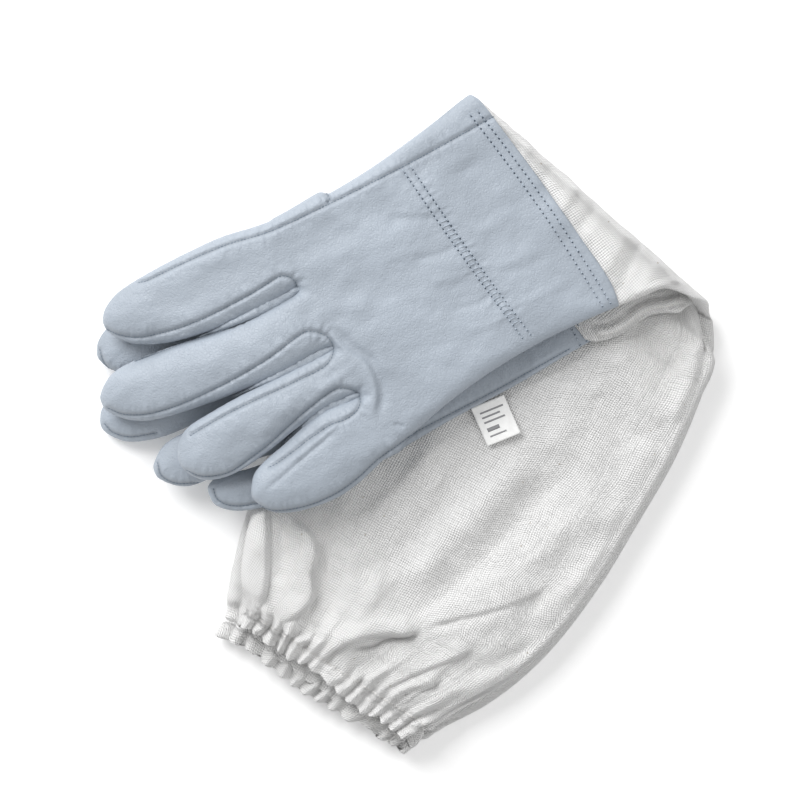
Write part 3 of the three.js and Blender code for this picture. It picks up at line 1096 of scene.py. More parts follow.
def left_hand(plane: HandPlane) -> LeatherHand:
    """The upper glove, back side up."""
    stalls = (
        Stall(
            "index",
            (
                (-20.6, 83.4, 119), (-34, 82.0, 119.5), (-50, 80.2, 121), (-72, 79.8, 120.2), (-92, 81.8, 118.4),
                (-108, 87, 115.6), (-117, 93.5, 111.0), (-120.6, 99, 106.6),
            ),
            -32,
        ),
        Stall(
            "middle",
            (
                (-20.6, 49.8, 81.4), (-34, 48.6, 80.0), (-48, 46.9, 78.4), (-68, 46.2, 78.0), (-92, 46.8, 80.0),
                (-115, 49.2, 80.8), (-128, 54.3, 78.6), (-136.6, 62.5, 71.5),
            ),
            -32,
        ),
        Stall(
            "ring",
            (
                (-20.6, 23.4, 47.9), (-36, 22.0, 46.6), (-52, 18.0, 45.2), (-70, 12.6, 44.2), (-88, 9.2, 42.0),
                (-101, 10.8, 39.6), (-108, 15.6, 34.6), (-111, 20.5, 29.5),
            ),
            -62,
        ),
        Stall(
            "little",
            (
                (-13.0, -11.0, 21.4), (-22, -14.6, 21.4), (-34, -19.0, 21.4), (-46, -21.4, 18.4),
                (-60, -21, 13.4), (-71, -18.8, 9.8), (-79, -14.6, 5.6), (-83.4, -8, -1),
            ),
            -84,
            root=(-8.0, 14.0),
        ),
    )
    index, middle, ring, little = stalls
    forks = (
        fork_seam(Leg(index, 1, -120.3, (1.5, 9.0), 0.6), Leg(middle, 2, -113.0, (0.6, 0.8)), -31.0, 7.0),
        fork_seam(Leg(middle, 1, -135.0, (2.5, 12.0), 1.7), Leg(ring, 2, -101.0, (4.5, 6.2)), -31.0, 12.5),
        fork_seam(Leg(ring, 1, -109.6, (1.5, 6.2), 2.0), Leg(little, 2, -70.0, (4.4, 8.0), 0.6), -27.0, 11.0),
    )
    thumb_side, little_side = side_seams(index, little)
    nick = 7.5
    seam = dict(height=-1.15, width=1.15, ripple=0.15, pucker=0.42, pitch=3.0, blunt=True)
    seams = (
        Crease(forks[0], **seam),
        Crease(forks[1], **{**seam, "pucker": 0.45}),
        Crease(forks[2], **{**seam, "pucker": 0.45}),
        Crease(thumb_side, **{**seam, "height": -1.0}),
        Crease(little_side, **seam),
        Crease(((nick - 1, 124.5), (nick, 118.0), (nick - 1.5, 116.5)), -1.4, 0.9, blunt=True),
    )
    creases = (
        Crease(((-18, 57), (-13.5, 44), (-7.5, 35), (-7.6, 21), (-14.7, 9)), 1.3, 3.2, -0.6),
        Crease(((-15, 59), (-9.5, 45), (-3.4, 35), (-3.6, 21), (-11, 7)), -1.0, 2.4),
        Crease(((-24, 68), (-8, 66), (8, 60)), 0.8, 5.0),
        Crease(((-78, -5), (-54, 3), (-30, 11)), -0.7, 1.3, pucker=0.2),
        Crease(((-60, 4.2), (-44, 8.5), (-26, 15.0)), 0.7, 1.6),
        Crease(((-36, 30.5), (-24, 33.5), (-10, 37)), 0.9, 2.6),
        Crease(((-5.0, 2.2), (-1.0, -1.0)), -0.9, 0.9),
        Crease(((-46, 30), (-60, 25), (-76, 22)), 0.5, 3.5),
        Crease(((-20, 92), (-2, 94), (18, 90)), 0.8, 6.0),
        Crease(((10, 108), (24, 92), (34, 70)), 0.55, 6.5),
        Crease(((0, 78), (18, 66), (30, 48)), -0.6, 6.0),
        Crease(((30, 98), (44, 92), (52, 90)), -0.55, 2.2),
        Crease(((34, 74), (46, 72), (56, 72)), -0.5, 2.0),
        Crease(((38, 60), (50, 58), (60, 58)), 0.5, 2.4),
        Crease(((42, 44), (54, 42), (64, 43)), -0.5, 2.0),
        Crease(((46, 32), (58, 30), (68, 31)), 0.4, 2.2),
        Crease(((66, 74), (80, 76), (92, 78)), 0.5, 3.4),
        Crease(((70, 52), (84, 50), (98, 52)), -0.5, 3.0),
        Crease(((74, 34), (88, 34), (102, 36)), 0.45, 3.2),
        Crease(((60, 104), (74, 106), (86, 108)), -0.4, 3.0),
        Crease(WRIST_ROWS[0], -0.5, 1.0, pucker=0.25, blunt=True),
        Crease(WRIST_ROWS[1], -0.5, 1.0, pucker=0.25, blunt=True),
        Crease(LADDER, 0.3, 1.5, pucker=0.2, pitch=3.0),
        Crease(CUFF_ROWS[0], -0.35, 0.8, blunt=True),
        Crease(CUFF_ROWS[1], -0.35, 0.8, blunt=True),
    )
    return LeatherHand(
        side=Side.LEFT,
        plane=plane,
        stalls=stalls,
        low_edge=eased((120.5, 14.0), (-14.0, -12.5), 2.3)[::-1],
        high_edge=(
            (-22, 119), (nick - 6, 123), (nick - 2, 122.5), (nick, 120.5),
            *eased((nick + 4, 121.0), (91.5, 140.0), 1.25, 5),
        ),
        knuckles=((-23.5, 112), (-23.5, 86), (-23.0, 82), (-19, 50), (-18, 46), (-15, 22), (-14, 16)),
        cuff=((91, 141), *bowed((95.5, 134.0), (121.0, 28.0), 1.0), (121, 13)),
        creases=creases,
        seams=seams,
        up=(5.8, 7.6),
        down=(4.4, 4.4),
        step=0.8,
        seed=11,
    )


def right_hand(plane: HandPlane) -> LeatherHand:
    """The lower glove, palm side up under the other hand."""
    stalls = (
        Stall(
            "index",
            (
                (-20.6, 73, 107), (-38, 72, 107.5), (-60, 71.2, 108.5), (-84, 71.2, 107), (-104, 71.8, 105.8),
                (-119, 75, 103), (-128, 82, 98), (-131.0, 87, 93),
            ),
            -32,
        ),
        Stall(
            "middle",
            (
                (-20.6, 40.6, 68.4), (-42, 40.2, 69), (-66, 40.0, 69.2), (-92, 40.0, 69.4), (-116, 40, 69.8),
                (-132, 43.6, 69.4), (-140, 49.5, 65), (-143.0, 54, 60),
            ),
            -32,
        ),
        Stall(
            "ring",
            (
                (-20.6, 12.6, 37.6), (-40, 11.8, 38.2), (-62, 10.8, 38.4), (-90, 12.4, 38.2), (-108, 11.2, 38.0),
                (-118, 14.0, 35.6), (-125.6, 21, 29),
            ),
            -62,
        ),
        Stall(
            "little",
            (
                (-14, -11.5, 9.6), (-24, -13.4, 9.6), (-40, -15.6, 9.2), (-60, -15.4, 8.2),
                (-80, -12.4, 9.0), (-90, -10.4, 10.2), (-98, -7.2, 11.0), (-104, -1.8, 8.4),
            ),
            -84,
            root=(-8.0, 14.0),
        ),
    )
    seam = dict(height=-1.1, width=1.1, ripple=0.15, pucker=0.4, pitch=3.0, blunt=True)
    seams = (
        Crease(((-121, 76.5), (-127, 80.5), (-129.5, 86), (-129.0, 93)), **seam),
        Crease(((-118, 43.2), (-131, 46.3), (-138.5, 51.5), (-141, 57)), **seam),
        Crease(((-108, 12.0), (-118, 15.8), (-123.5, 22), (-123, 29)), **seam),
        Crease(((-80, -9.6), (-91, -7.2), (-98, -3.8), (-101.6, 1.0), (-101.4, 6.0)), **seam),
        Crease(
            ((-62, -12.0), (-30, -11.0), (0, -6.2), (24, -3.8), (47, -1.7), (71, 1.2), (90, 3.6)), **seam
        ),
    )
    return LeatherHand(
        side=Side.RIGHT,
        plane=plane,
        stalls=stalls,
        low_edge=((-16, -12.5), (22, -7), (60, -3), (103, 3)),
        high_edge=((-20, 107), (0, 107.6), (22, 109), (46, 112), (70, 115), (80, 116.5)),
        knuckles=((-22, 100), (-22, 76), (-21, 70), (-20, 42), (-19, 36), (-18, 14), (-17, 8)),
        cuff=((79.6, 118), (84, 95), (90, 66), (96.5, 36), (101.5, 12), (103, 2)),
        creases=(),
        seams=seams,
        up=(4.2, 5.6),
        down=(4.4, 4.4),
        step=0.9,
        seed=23,
    )


@dataclass
class Pad:
    """A flat leather piece of its own: a thumb stall between the palms, or a fork between two fingers.

    Attributes:
        node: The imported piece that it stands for.
        plane: The hand's plan coordinates.
        rows: Rows of (u, low v, high v) from one end to the other.
        middle: Height of the pad's middle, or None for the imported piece's own.
        half: Half its height.
        pleat: Height of the cross pleats on it.
        step: Spacing of the mesh.
        edge: How far in from the outline its edge is rounded.
        sink: How far its outer tip drops.
    """

    node: str
    plane: HandPlane
    rows: Path
    half: float = 1.75
    middle: Optional[float] = None
    pleat: float = 0.0
    step: float = 1.1
    edge: float = 5.0
    sink: float = 0.0

    def build(self, leather: bpy.types.Material) -> None:
        """Makes the pad and fixes it to its glove."""
        low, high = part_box(self.node)
        middle = (low.z + high.z) / 2 / MM if self.middle is None else self.middle
        near = [(u, a) for u, a, _ in self.rows]
        far = [(u, b) for u, _, b in self.rows]
        outline = spline([*near, *far[::-1], near[0]], 90)
        us = np.arange(outline[:, 0].min() - 3, outline[:, 0].max() + 3, self.step)
        vs = np.arange(outline[:, 1].min() - 3, outline[:, 1].max() + 3, self.step)
        zs = np.arange(-self.half - 2, self.half + 2, self.step)
        place = np.stack(np.meshgrid(us, vs, indexing="ij"), axis=-1).reshape(-1, 2)
        inset = inside_distance(place, outline).reshape(len(us), len(vs), 1)
        roll = np.maximum(0, self.edge - inset) / self.edge
        values = (np.sqrt(roll**2 + (zs[None, None, :] / self.half) ** 2) - 1) * 2
        points, quads = surface_net(values, (us[0], vs[0], zs[0]), self.step)
        points = relax(points, quads, 2)
        noise = Noise(7)
        u, v, z = points.T
        sink = self.sink * smoothstep(us[0] + 26, us[0] + 4, u)
        points[:, 2] += middle - sink + 0.15 * noise(u / 6, v / 5) + self.pleat * noise(u / 1.7, v / 6) * (z > 0)
        piece = make_object(f"{self.node}_leather", self.plane.out(points), quads, leather)
        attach(piece, f"{self.node.split('_')[0]}_glove")
        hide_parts(self.node)


@dataclass
class WristBand:
    """Short elastic sewn inside the wrist, drawn up into ripples."""

    side: Side
    plane: HandPlane
    ends: Path
    width: float = 6.0
    thickness: float = 0.7

    def build(self, elastic: bpy.types.Material) -> None:
        """Makes the band and fixes it to its glove."""
        name = f"{self.side.value}_wrist_elastic"
        low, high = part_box(name)
        middle = (low.z + high.z) / 2 / MM
        line = spline(self.ends, 90)
        way = line[-1] - line[0]
        way = way / np.linalg.norm(way)
        out = np.array([way[1], -way[0]])
        loops = []
        for i, point in enumerate(line):
            ripple = 0.35 * math.sin(i * 1.1)
            corners = [(-1, -1), (1, -1), (1, 1), (-1, 1)]
            loops += [
                (*(point + out * a * self.width / 2), middle + ripple + b * self.thickness / 2)
                for a, b in corners
            ]
        faces = [
            (4 * i + k, 4 * i + (k + 1) % 4, 4 * i + 4 + (k + 1) % 4, 4 * i + 4 + k)
            for i in range(len(line) - 1)
            for k in range(4)
        ]
        last = 4 * (len(line) - 1)
        faces += [(3, 2, 1, 0), (last, last + 1, last + 2, last + 3)]
        piece = make_object(f"{name}_band", self.plane.out(np.array(loops)), faces, elastic)
        form = bmesh.new()
        form.from_mesh(piece.data)
        bmesh.ops.recalc_face_normals(form, faces=form.faces)
        form.to_mesh(piece.data)
        form.free()
        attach(piece, f"{self.side.value}_glove")
        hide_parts(name)


# ---------------------------------------------------------------------------------------------------------
# Canvas sleeves


@dataclass(frozen=True)
class Station:
    """One flattened section of a sleeve.

    Attributes:
        left: The section's end at the thumb side.
        right: The section's other end.
        turn: How far the sleeve has turned over at the fold, in degrees.
        half: Half the section's height.
    """

    left: tuple[float, float, float]
    right: tuple[float, float, float]
    turn: float
    half: float

    def row(self) -> tuple[float, ...]:
        """The station as one row of numbers, with the turn weighed as a length."""
        return (*self.left, *self.right, self.turn / 4, self.half)


FOLD_OUT = np.array([0.6485, 0.7612, 0.0])
FOLD_ALONG = np.array([0.7612, -0.6485, 0.0])


def fold_stations(
    left: tuple[float, float],
    right: tuple[float, float],
    reach: tuple[float, float],
    heights: tuple[float, float],
    halves: tuple[float, float],
    skew: tuple[float, float],
) -> list[Station]:
    """Stations round the fold.

    Args:
        left: Outermost plan point at the section's first end.
        right: Outermost plan point at its other end.
        reach: How far the fold's middle line reaches out at its first and its second end.
        heights: Height of the middle line above and below the fold.
        halves: Half height of the section above and below the fold.
        skew: How far the upper and the lower part run along the fold at its second end.

    Returns:
        Seven stations, from the top over the edge to the underside.
    """
    stations = []
    centre_z = (heights[0] + heights[1]) / 2
    rise = (heights[0] - heights[1]) / 2
    for degrees in range(0, 181, 30):
        angle = math.radians(degrees)
        share = degrees / 180
        half = halves[0] * (1 - share) + halves[1] * share
        height = np.array([0, 0, centre_z + rise * math.cos(angle)])
        upper, lower = max(0.0, 1 - 2 * share) ** 1.4, max(0.0, 2 * share - 1) ** 1.4
        slide = FOLD_ALONG * (skew[0] * upper + skew[1] * lower)
        a = np.array([*left, 0.0]) + FOLD_OUT * (reach[0] * (math.sin(angle) - 1) - half) + height
        b = np.array([*right, 0.0]) + FOLD_OUT * (reach[1] * (math.sin(angle) - 1) - half) + height + slide
        stations.append(Station(tuple(a), tuple(b), degrees, half))
    return stations


@dataclass
class Sleeve:
    """Canvas sleeve: a wide flat tube that turns under the hand and ends in a gathered mouth.

    Attributes:
        side: Left or right.
        stations: Sections from inside the cuff, round the fold, to the mouth.
        around: Points round a section.
        steps: Sections of the finished mesh.
        cut: Where the turned part ends and the lying part starts, as a station number, if it is cut.
        upper_creases: Lines that shape the cloth above the fold.
        under_creases: Lines that shape the upper layer of the lying part.
        blend: Two heights, for the cloth by the glove and by the lying part, that bend_line turns into points.
    """

    side: Side
    stations: list[Station]
    around: int
    steps: int
    upper_creases: tuple[Crease, ...]
    under_creases: tuple[Crease, ...]
    seams: tuple[Crease, ...]
    blend: tuple[float, float]
    flat: tuple[float, float]
    cut: Optional[int] = None
    lip: float = 2.2
    hem: float = 9.0
    wall: float = 1.2
    gather: float = 3.2
    pitch: float = 7.0
    crowding: float = 0.0
    seed: int = 3
    pieces: list[bpy.types.Object] = field(default_factory=list)

    def sections(self) -> Array:
        """Evenly spaced sections as rows of numbers, closer together near the mouth."""
        rows = np.array([s.row() for s in self.stations], float)
        dense = spline(rows, 1200)
        dense[:, 6] = np.clip(np.maximum.accumulate(dense[:, 6]), 0, 45)
        middle = (dense[:, :3] + dense[:, 3:6]) / 2
        run = np.concatenate([[0], np.cumsum(np.linalg.norm(np.diff(middle, axis=0), axis=1))])
        density = 1 + 1.1 * smoothstep(run[-1] - 120, run[-1] - 85, run) + 0.9 * (1 - smoothstep(35, 55, run))
        weight = np.concatenate([[0], np.cumsum(np.diff(run) * (density[1:] + density[:-1]) / 2)])
        wanted = np.linspace(0, weight[-1], self.steps)
        return np.stack([np.interp(wanted, weight, column) for column in dense.T], axis=1)

    def shares(self) -> Array:
        """Each point's share of the way round a section, closer together on the lying part's upper layer."""
        share = np.linspace(0, 1, 2001)
        density = 1 + self.crowding * smoothstep(0.47, 0.52, share) * (1 + smoothstep(0.68, 0.78, share))
        weight = np.concatenate([[0], np.cumsum((density[1:] + density[:-1]) / 2)])
        return np.interp(np.arange(self.around) / self.around, weight / weight[-1], share)

    def ring(self, row: Array, inset: float) -> Array:
        """Points round one section, set in by an inset from the outer face."""
        a, b = row[:3], row[3:6]
        turn = math.radians(row[6] * 4)
        normal = FOLD_OUT * math.sin(turn) + np.array([0, 0, math.cos(turn)])
        way = b - a
        width = float(np.linalg.norm(way))
        way = way / width
        radius = row[7]
        straight = width - 2 * radius
        lengths = np.cumsum([0, straight, math.pi * radius, straight, math.pi * radius])
        run = self.shares() * lengths[-1]
        points = np.zeros((self.around, 2))
        flat = run < lengths[1]
        points[flat] = np.stack([radius + run[flat], np.full(flat.sum(), radius)], axis=1)
        bend = (run >= lengths[1]) & (run < lengths[2])
        angle = (run[bend] - lengths[1]) / radius
        points[bend] = np.stack([width - radius + radius * np.sin(angle), radius * np.cos(angle)], axis=1)
        back = (run >= lengths[2]) & (run < lengths[3])
        points[back] = np.stack(
            [width - radius - (run[back] - lengths[2]), np.full(back.sum(), -radius)], axis=1
        )
        bend = run >= lengths[3]
        angle = (run[bend] - lengths[3]) / radius
        points[bend] = np.stack([radius - radius * np.sin(angle), -radius * np.cos(angle)], axis=1)
        middle = np.array([width / 2, 0.0])
        scale = np.array([1 - 2 * inset / width, 1 - inset / radius])
        points = middle + (points - middle) * scale
        return a + points[:, :1] * way + points[:, 1:] * normal

    def gathers(self, run: Array, around: Array, noise: Noise) -> tuple[Array, Array]:
        """Pleats drawn up by the elastic.

        Args:
            run: Distance of each point from the mouth.
            around: Distance of each point round the mouth.

        Returns:
            How far each point moves out of the cloth, and how far along it.
        """
        wander = 0.5 * noise(around / 13.0, around * 0) + 0.22 * noise(run / 9, around / 9)
        phase = around / self.pitch + wander
        fine = 1 - 2 * np.abs(np.cos(math.pi * phase)) ** 2.6
        half = np.cos(math.pi * phase + 1.2 * noise(around / 27, around * 0 + 4))
        folds = np.cos(math.pi * phase / 2.2 + 2.2 * noise(around / 37, around * 0 + 9))
        uneven = 1 + 0.6 * noise(around / 8.0, run * 0 + 2)
        reach = 11 + 6 * noise(around / 13, run * 0 + 7)
        past = np.maximum(0, run - self.hem)
        pinch = np.exp(-(((run - self.hem) / 1.5) ** 2))
        strength = np.exp(-((past / reach) ** 1.4))
        strength_half = np.exp(-((past / (reach * 1.8)) ** 1.6)) * smoothstep(0, 8, past)
        strength_folds = np.exp(-((past / (reach * 3.4)) ** 1.8)) * smoothstep(3, 16, past)
        out = self.gather * uneven * (0.3 + 0.7 * fine) * strength * (1 - 0.35 * pinch)
        out += 1.9 * half * strength_half + 2.0 * folds * strength_folds - 0.7 * pinch
        out += 0.45 * noise(around / 2.8, run / 3.4) * np.exp(-run / 22)
        along = 0.7 * fine + 1.7 * noise(around / 9, run * 0 + 12) + 0.6 * noise(around / 2.1, run * 0)
        along = along * np.exp(-run / 8)
        return out, along

    def shape(self) -> tuple[Array, Array, Array, Array]:
        """Finished outer and inner faces.

        Returns:
            Outer points and inner points, each (section, around, 3), how near each outer point is to a seam groove,
            for the painted shade in it, and each point's run along the sleeve.
        """
        rows = self.sections()
        outer = np.stack([self.ring(row, 0.0) for row in rows])
        inner = np.stack([self.ring(row, self.wall) for row in rows])
        middle = (rows[:, :3] + rows[:, 3:6]) / 2
        run = np.concatenate([[0], np.cumsum(np.linalg.norm(np.diff(middle, axis=0), axis=1))])
        to_mouth = np.repeat((run[-1] - run)[:, None], self.around, axis=1)
        noise = Noise(self.seed)
        turn = np.radians(rows[:, 6] * 4)[:, None]
        index = self.shares()
        upper_layer = np.cos(2 * math.pi * (index - 0.25))[None, :]
        facing = np.sign(np.cos(turn)) * upper_layer
        place = outer[..., :2].reshape(-1, 2)
        top = smoothstep(-0.02, 0.09, facing)
        lying = smoothstep(100.0, 165.0, np.degrees(turn)) * np.ones_like(facing)
        rising = 1 - smoothstep(15.0, 80.0, np.degrees(turn)) * np.ones_like(facing)
        upper = total_lift(self.upper_creases, place, noise).reshape(facing.shape)
        under = total_lift(self.under_creases, place, noise).reshape(facing.shape)
        seam_lift = total_lift(self.seams, place, noise).reshape(facing.shape)
        x, y = outer[..., 0], outer[..., 1]
        along, across = (x * 0.55 + y * 0.835), (x * 0.835 - y * 0.55)
        soft = 1.3 * noise(across / 19 + along / 60, along / 44) + 0.75 * noise(x / 12 + 3, y / 12)
        soft += 0.3 * noise(x / 6, y / 6) + 0.12 * noise(x / 2.7, y / 2.7)
        calm = smoothstep(2, 30, to_mouth) * 0.8 + 0.2
        lift = top * (lying * (under + seam_lift) + rising * (upper + seam_lift) + soft * calm * (0.35 + 0.65 * lying))
        lift += (1 - top) * 0.25 * soft * lying
        perimeter = 2 * np.linalg.norm(rows[-1, 3:6] - rows[-1, :3])
        around = np.repeat(index[None, :] * perimeter, len(rows), axis=0)
        out, ahead = self.gathers(to_mouth, around, noise)
        steep = self.overhang(outer, lift) * (top * lying)[..., None]
        normals = self.grid_normals(outer)
        base = (rows[:, 2] + rows[:, 5]) / 2 - rows[:, 7]
        gathered = out[..., None] * normals
        gathered[..., 2] += np.maximum(0, out) * (facing < 0) * 0.6
        stream = np.gradient(middle, axis=0)
        stream /= np.linalg.norm(stream, axis=1)[:, None]
        slide = ahead + self.lip * -facing * np.exp(-to_mouth / 14)
        move = gathered + slide[..., None] * stream[:, None, :]
        move[..., 2] += lift
        move[..., :2] += steep
        wall = np.sin(turn) * smoothstep(0.0, 0.4, upper_layer)
        dent = 0.6 * noise(across / 15, outer[..., 2] / 10) + 0.25 * noise(across / 6, outer[..., 2] / 22 + 5)
        move += (wall * wall * dent)[..., None] * FOLD_OUT
        outer_done = outer + move
        inner_done = inner + move
        floor = np.minimum(base[:, None], outer[..., 2].min())
        outer_done[..., 2] = np.maximum(outer_done[..., 2], floor + 0.02)
        inner_done[..., 2] = np.maximum(inner_done[..., 2], floor + 0.02 + self.wall * 0.8)
        # Nearness to the seam grooves only, which the material turns into painted shade.
        near = np.zeros(len(place))
        for line in self.seams:
            distance, _, _ = path_distance(place, spline(line.points, 10 * len(line.points)))
            if line.height < 0:
                near = np.maximum(near, np.exp(-((distance / 0.8) ** 2)))
        steps = np.linalg.norm(np.diff(outer_done, axis=0, prepend=outer_done[:1]), axis=2)
        return outer_done, inner_done, near.reshape(facing.shape) * top, np.cumsum(steps, axis=0)

    @staticmethod
    def overhang(points: Array, lift: Array) -> Array:
        """Plan movement that lets steep folds lean out over the cloth below them."""
        for _ in range(3):
            lift = (lift + np.roll(lift, 1, axis=1) * 0.5 + np.roll(lift, -1, axis=1) * 0.5) / 2
            lift[1:-1] = lift[1:-1] / 2 + (lift[:-2] + lift[2:]) / 4
        x_i, x_j = np.gradient(points[..., 0])
        y_i, y_j = np.gradient(points[..., 1])
        lift_i, lift_j = np.gradient(lift)
        area = x_i * y_j - x_j * y_i
        area = np.where(np.abs(area) < 0.05, 0.05, area)
        slope = np.stack([(lift_i * y_j - lift_j * y_i) / area, (lift_j * x_i - lift_i * x_j) / area], axis=-1)
        size = np.linalg.norm(slope, axis=-1, keepdims=True)
        return -np.clip(size * size / (0.6 + size), 0, 1.7) * slope / np.maximum(size, 1e-6)

    @staticmethod
    def grid_normals(points: Array) -> Array:
        """Outward normal at each point of a closed-round grid."""
        along = np.gradient(points, axis=0)
        around = np.roll(points, -1, axis=1) - np.roll(points, 1, axis=1)
        normal = np.cross(along, around)
        middle = points.mean(axis=1, keepdims=True)
        normal /= np.maximum(np.linalg.norm(normal, axis=2, keepdims=True), 1e-9)
        outward = np.sign((normal * (points - middle)).sum(axis=(1, 2)))
        return normal * outward[:, None, None]

    def bend_line(self) -> tuple[tuple[float, ...], tuple[float, ...]]:
        """Two points at the thumb-side end of the sleeve's first section, at the two heights in blend."""
        x, y = self.stations[0].left[0] * MM, self.stations[0].left[1] * MM
        return (x, y, self.blend[0] * MM), (x, y, self.blend[1] * MM)

    def build(self, canvas: bpy.types.Material) -> Drop:
        """Makes the sleeve's pieces, and fixes the lying part, where it is cut off, to the sleeves' body.

        Returns:
            The finished outer face, for stitches to lie on.
        """
        outer, inner, near, run = self.shape()
        normals = self.grid_normals(outer)
        rows = self.sections()
        cut = len(rows) - 1
        if self.cut is not None:
            cut = int(np.argmax(rows[:, 6] * 4 >= self.cut))
        spans = [(0, cut)] if self.cut is None else [(0, cut), (cut, len(rows) - 1)]
        prefix = self.side.value
        for number, (first, last) in enumerate(spans):
            piece = self.tube(f"{prefix}_sleeve{'' if number == 0 else '_lying'}", outer, inner, near, run,
                              normals, first, last, canvas)
            self.pieces.append(piece)
        turned = self.pieces[0]
        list(self.bend_line())
        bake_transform(turned)
        nodes = [f"{prefix}_sleeve_strip"]
        lying_nodes = [f"{prefix}_sleeve_under", f"{prefix}_sleeve_hem", f"{prefix}_hem_elastic"]
        if len(self.pieces) == 1:
            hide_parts(*nodes, *lying_nodes)
        else:
            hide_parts(*nodes)
            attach(self.pieces[1], "sleeves")
            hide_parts(*lying_nodes)
        flat = (self.flat[0] * MM, self.flat[1] * MM)
        grid = np.arange(len(rows) * self.around).reshape(len(rows), self.around)
        beside = np.roll(grid, -1, axis=1)
        quads = np.stack([grid[:-1], beside[:-1], beside[1:], grid[1:]], axis=-1).reshape(-1, 4)
        return Drop(outer.reshape(-1, 3), quads)

    def tube(
        self, name: str, outer: Array, inner: Array, near: Array, run: Array, normals: Array, first: int,
        last: int, canvas: bpy.types.Material,
    ) -> bpy.types.Object:
        """Thin-walled tube of the sections from first to last, with its cloth coordinates."""
        inside = np.unique(np.linspace(first, last, max(8, (last - first) // 4)).astype(int))[::-1]
        loops = np.concatenate([outer[first : last + 1], inner[inside]])
        runs = np.concatenate([run[first : last + 1], run[inside]])
        seam = np.concatenate([near[first : last + 1], near[inside] * 0])
        side_normals = np.concatenate([normals[first : last + 1], -normals[inside]])
        count, around = len(loops), self.around
        grid = np.arange(count * around).reshape(count, around)
        beside = np.roll(grid, -1, axis=1)
        after, after_beside = np.roll(grid, -1, axis=0), np.roll(beside, -1, axis=0)
        quads = np.stack([grid, beside, after_beside, after], axis=-1)
        test = quads[2, around // 4]
        points = loops.reshape(-1, 3)
        face = np.cross(points[test[1]] - points[test[0]], points[test[3]] - points[test[0]])
        reverse = float(face @ normals[first + 2, around // 4]) < 0
        flat = quads.reshape(-1, 4)
        flat = flat[:, ::-1] if reverse else flat
        piece = make_object(name, points, flat, canvas)
        set_attribute(piece.data, "seam", seam.reshape(-1))
        chords = np.linalg.norm(np.diff(loops, axis=1, append=loops[:, :1]), axis=2)
        reached = np.concatenate([np.zeros((count, 1)), np.cumsum(chords, axis=1)], axis=1)
        shares = self.shares()
        front, back = int(np.searchsorted(shares, 0.25)), int(np.searchsorted(shares, 0.75))
        anchor = np.where(shares < 0.5, reached[:, front : front + 1], reached[:, back : back + 1])
        layer = np.where(shares < 0.5, 0.25, 0.75)
        here, there = (side * MM + layer for side in (reached[:, :-1] - anchor, reached[:, 1:] - anchor))
        across = np.stack([here, there, np.roll(there, -1, axis=0), np.roll(here, -1, axis=0)], axis=-1)
        far = np.roll(runs, -1, axis=0)
        along = np.stack([runs, np.roll(runs, -1, axis=1), np.roll(far, -1, axis=1), far], axis=-1) * MM
        pairs = np.stack([across, along], axis=-1).reshape(-1, 4, 2)
        pairs = pairs[:, ::-1] if reverse else pairs
        layer_uv = piece.data.uv_layers.new(name="cloth")
        layer_uv.data.foreach_set("uv", pairs.reshape(-1).astype(np.float32))
        if self.cut is not None:
            smooth = vertex_normals(points, flat)
            rim = np.zeros((count, around), bool)
            at_cut = (last - first) if first == 0 else 0
            rim[at_cut] = True
            rim[[-1 if first else last - first + 1]] = False
            rim = rim.reshape(-1)
            smooth[rim] = side_normals.reshape(-1, 3)[rim]
            piece.data.normals_split_custom_set_from_vertices(smooth.tolist())
        log.info("%s: %d faces", name, len(piece.data.polygons))
        return piece


def left_sleeve() -> Sleeve:
    """The lower sleeve, of the upper glove."""
    strip = [
        Station((29.0, 150.0, 36.6), (100.5, 57.5, 36.6), 0, 2.6),
        Station((32.6, 158.0, 36.5), (107.6, 59.8, 36.4), 0, 2.6),
        Station((32.4, 159.8, 36.3), (118.5, 63.9, 36.0), 0, 2.5),
        Station((31.8, 160.6, 36.1), (129.8, 68.0, 35.6), 0, 2.4),
    ]
    fold = fold_stations((34.85, 165.45), (154.0, 60.4), (1.6, 2.4), (36.0, 3.6), (2.1, 3.0), (-9.0, 8.0))
    under = [
        Station((10.4, 125.2, 4.6), (156.4, 34.2, 4.6), 180, 4.4),
        Station((-15.8, 85.3, 4.7), (150.0, 12.2, 4.7), 180, 4.4),
        Station((-41.8, 40.3, 4.7), (136.6, -18.8, 4.7), 180, 4.4),
        Station((-62.8, 0.3, 4.7), (118.7, -49.8, 4.7), 180, 4.4),
        Station((-77.0, -34.8, 4.7), (97.3, -84.8, 4.7), 180, 4.4),
        Station((-85.6, -63.8, 4.7), (72.2, -116.8, 4.7), 180, 4.4),
        Station((-88.4, -82.5, 4.7), (43.8, -141.0, 4.7), 180, 4.4),
        Station((-87.6, -97.0, 4.7), (12.0, -157.2, 4.7), 180, 4.4),
        Station((-92.0, -106.9, 4.6), (-0.9, -164.8, 4.6), 180, 4.2),
    ]
    upper = (
        Crease(((106, 64), (110, 74), (116, 86), (118, 92)), -1.9, 2.4, 0.5),
        Crease(((98, 74), (105, 86), (112, 97)), 1.5, 4.4, 0.3),
        Crease(((115, 66), (123, 76), (130, 84)), 1.6, 4.0, -0.4),
        Crease(((76, 104), (82, 113), (88, 121)), 1.5, 3.8, 0.4),
        Crease(((86, 96), (92, 104), (97, 112)), -1.3, 3.2),
        Crease(((58, 132), (63, 139), (67, 144)), 0.9, 3.0),
        Crease(((66, 118), (72, 126), (78, 132)), -0.9, 3.0),
        Crease(((134, 69), (139, 75), (144, 78)), -1.3, 2.2),
        Crease(((110, 64.5), (124, 68.5), (136, 72), (147, 69)), 1.5, 2.2),
    )
    return Sleeve(
        side=Side.LEFT,
        stations=[*strip, *fold, *under],
        around=300,
        steps=230,
        upper_creases=upper,
        under_creases=(),
        seams=(),
        blend=(26.0, 12.0),
        flat=(330.0, 330.0),
        lip=-1.2,
        gather=2.5,
        pitch=8.2,
        seed=31,
    )


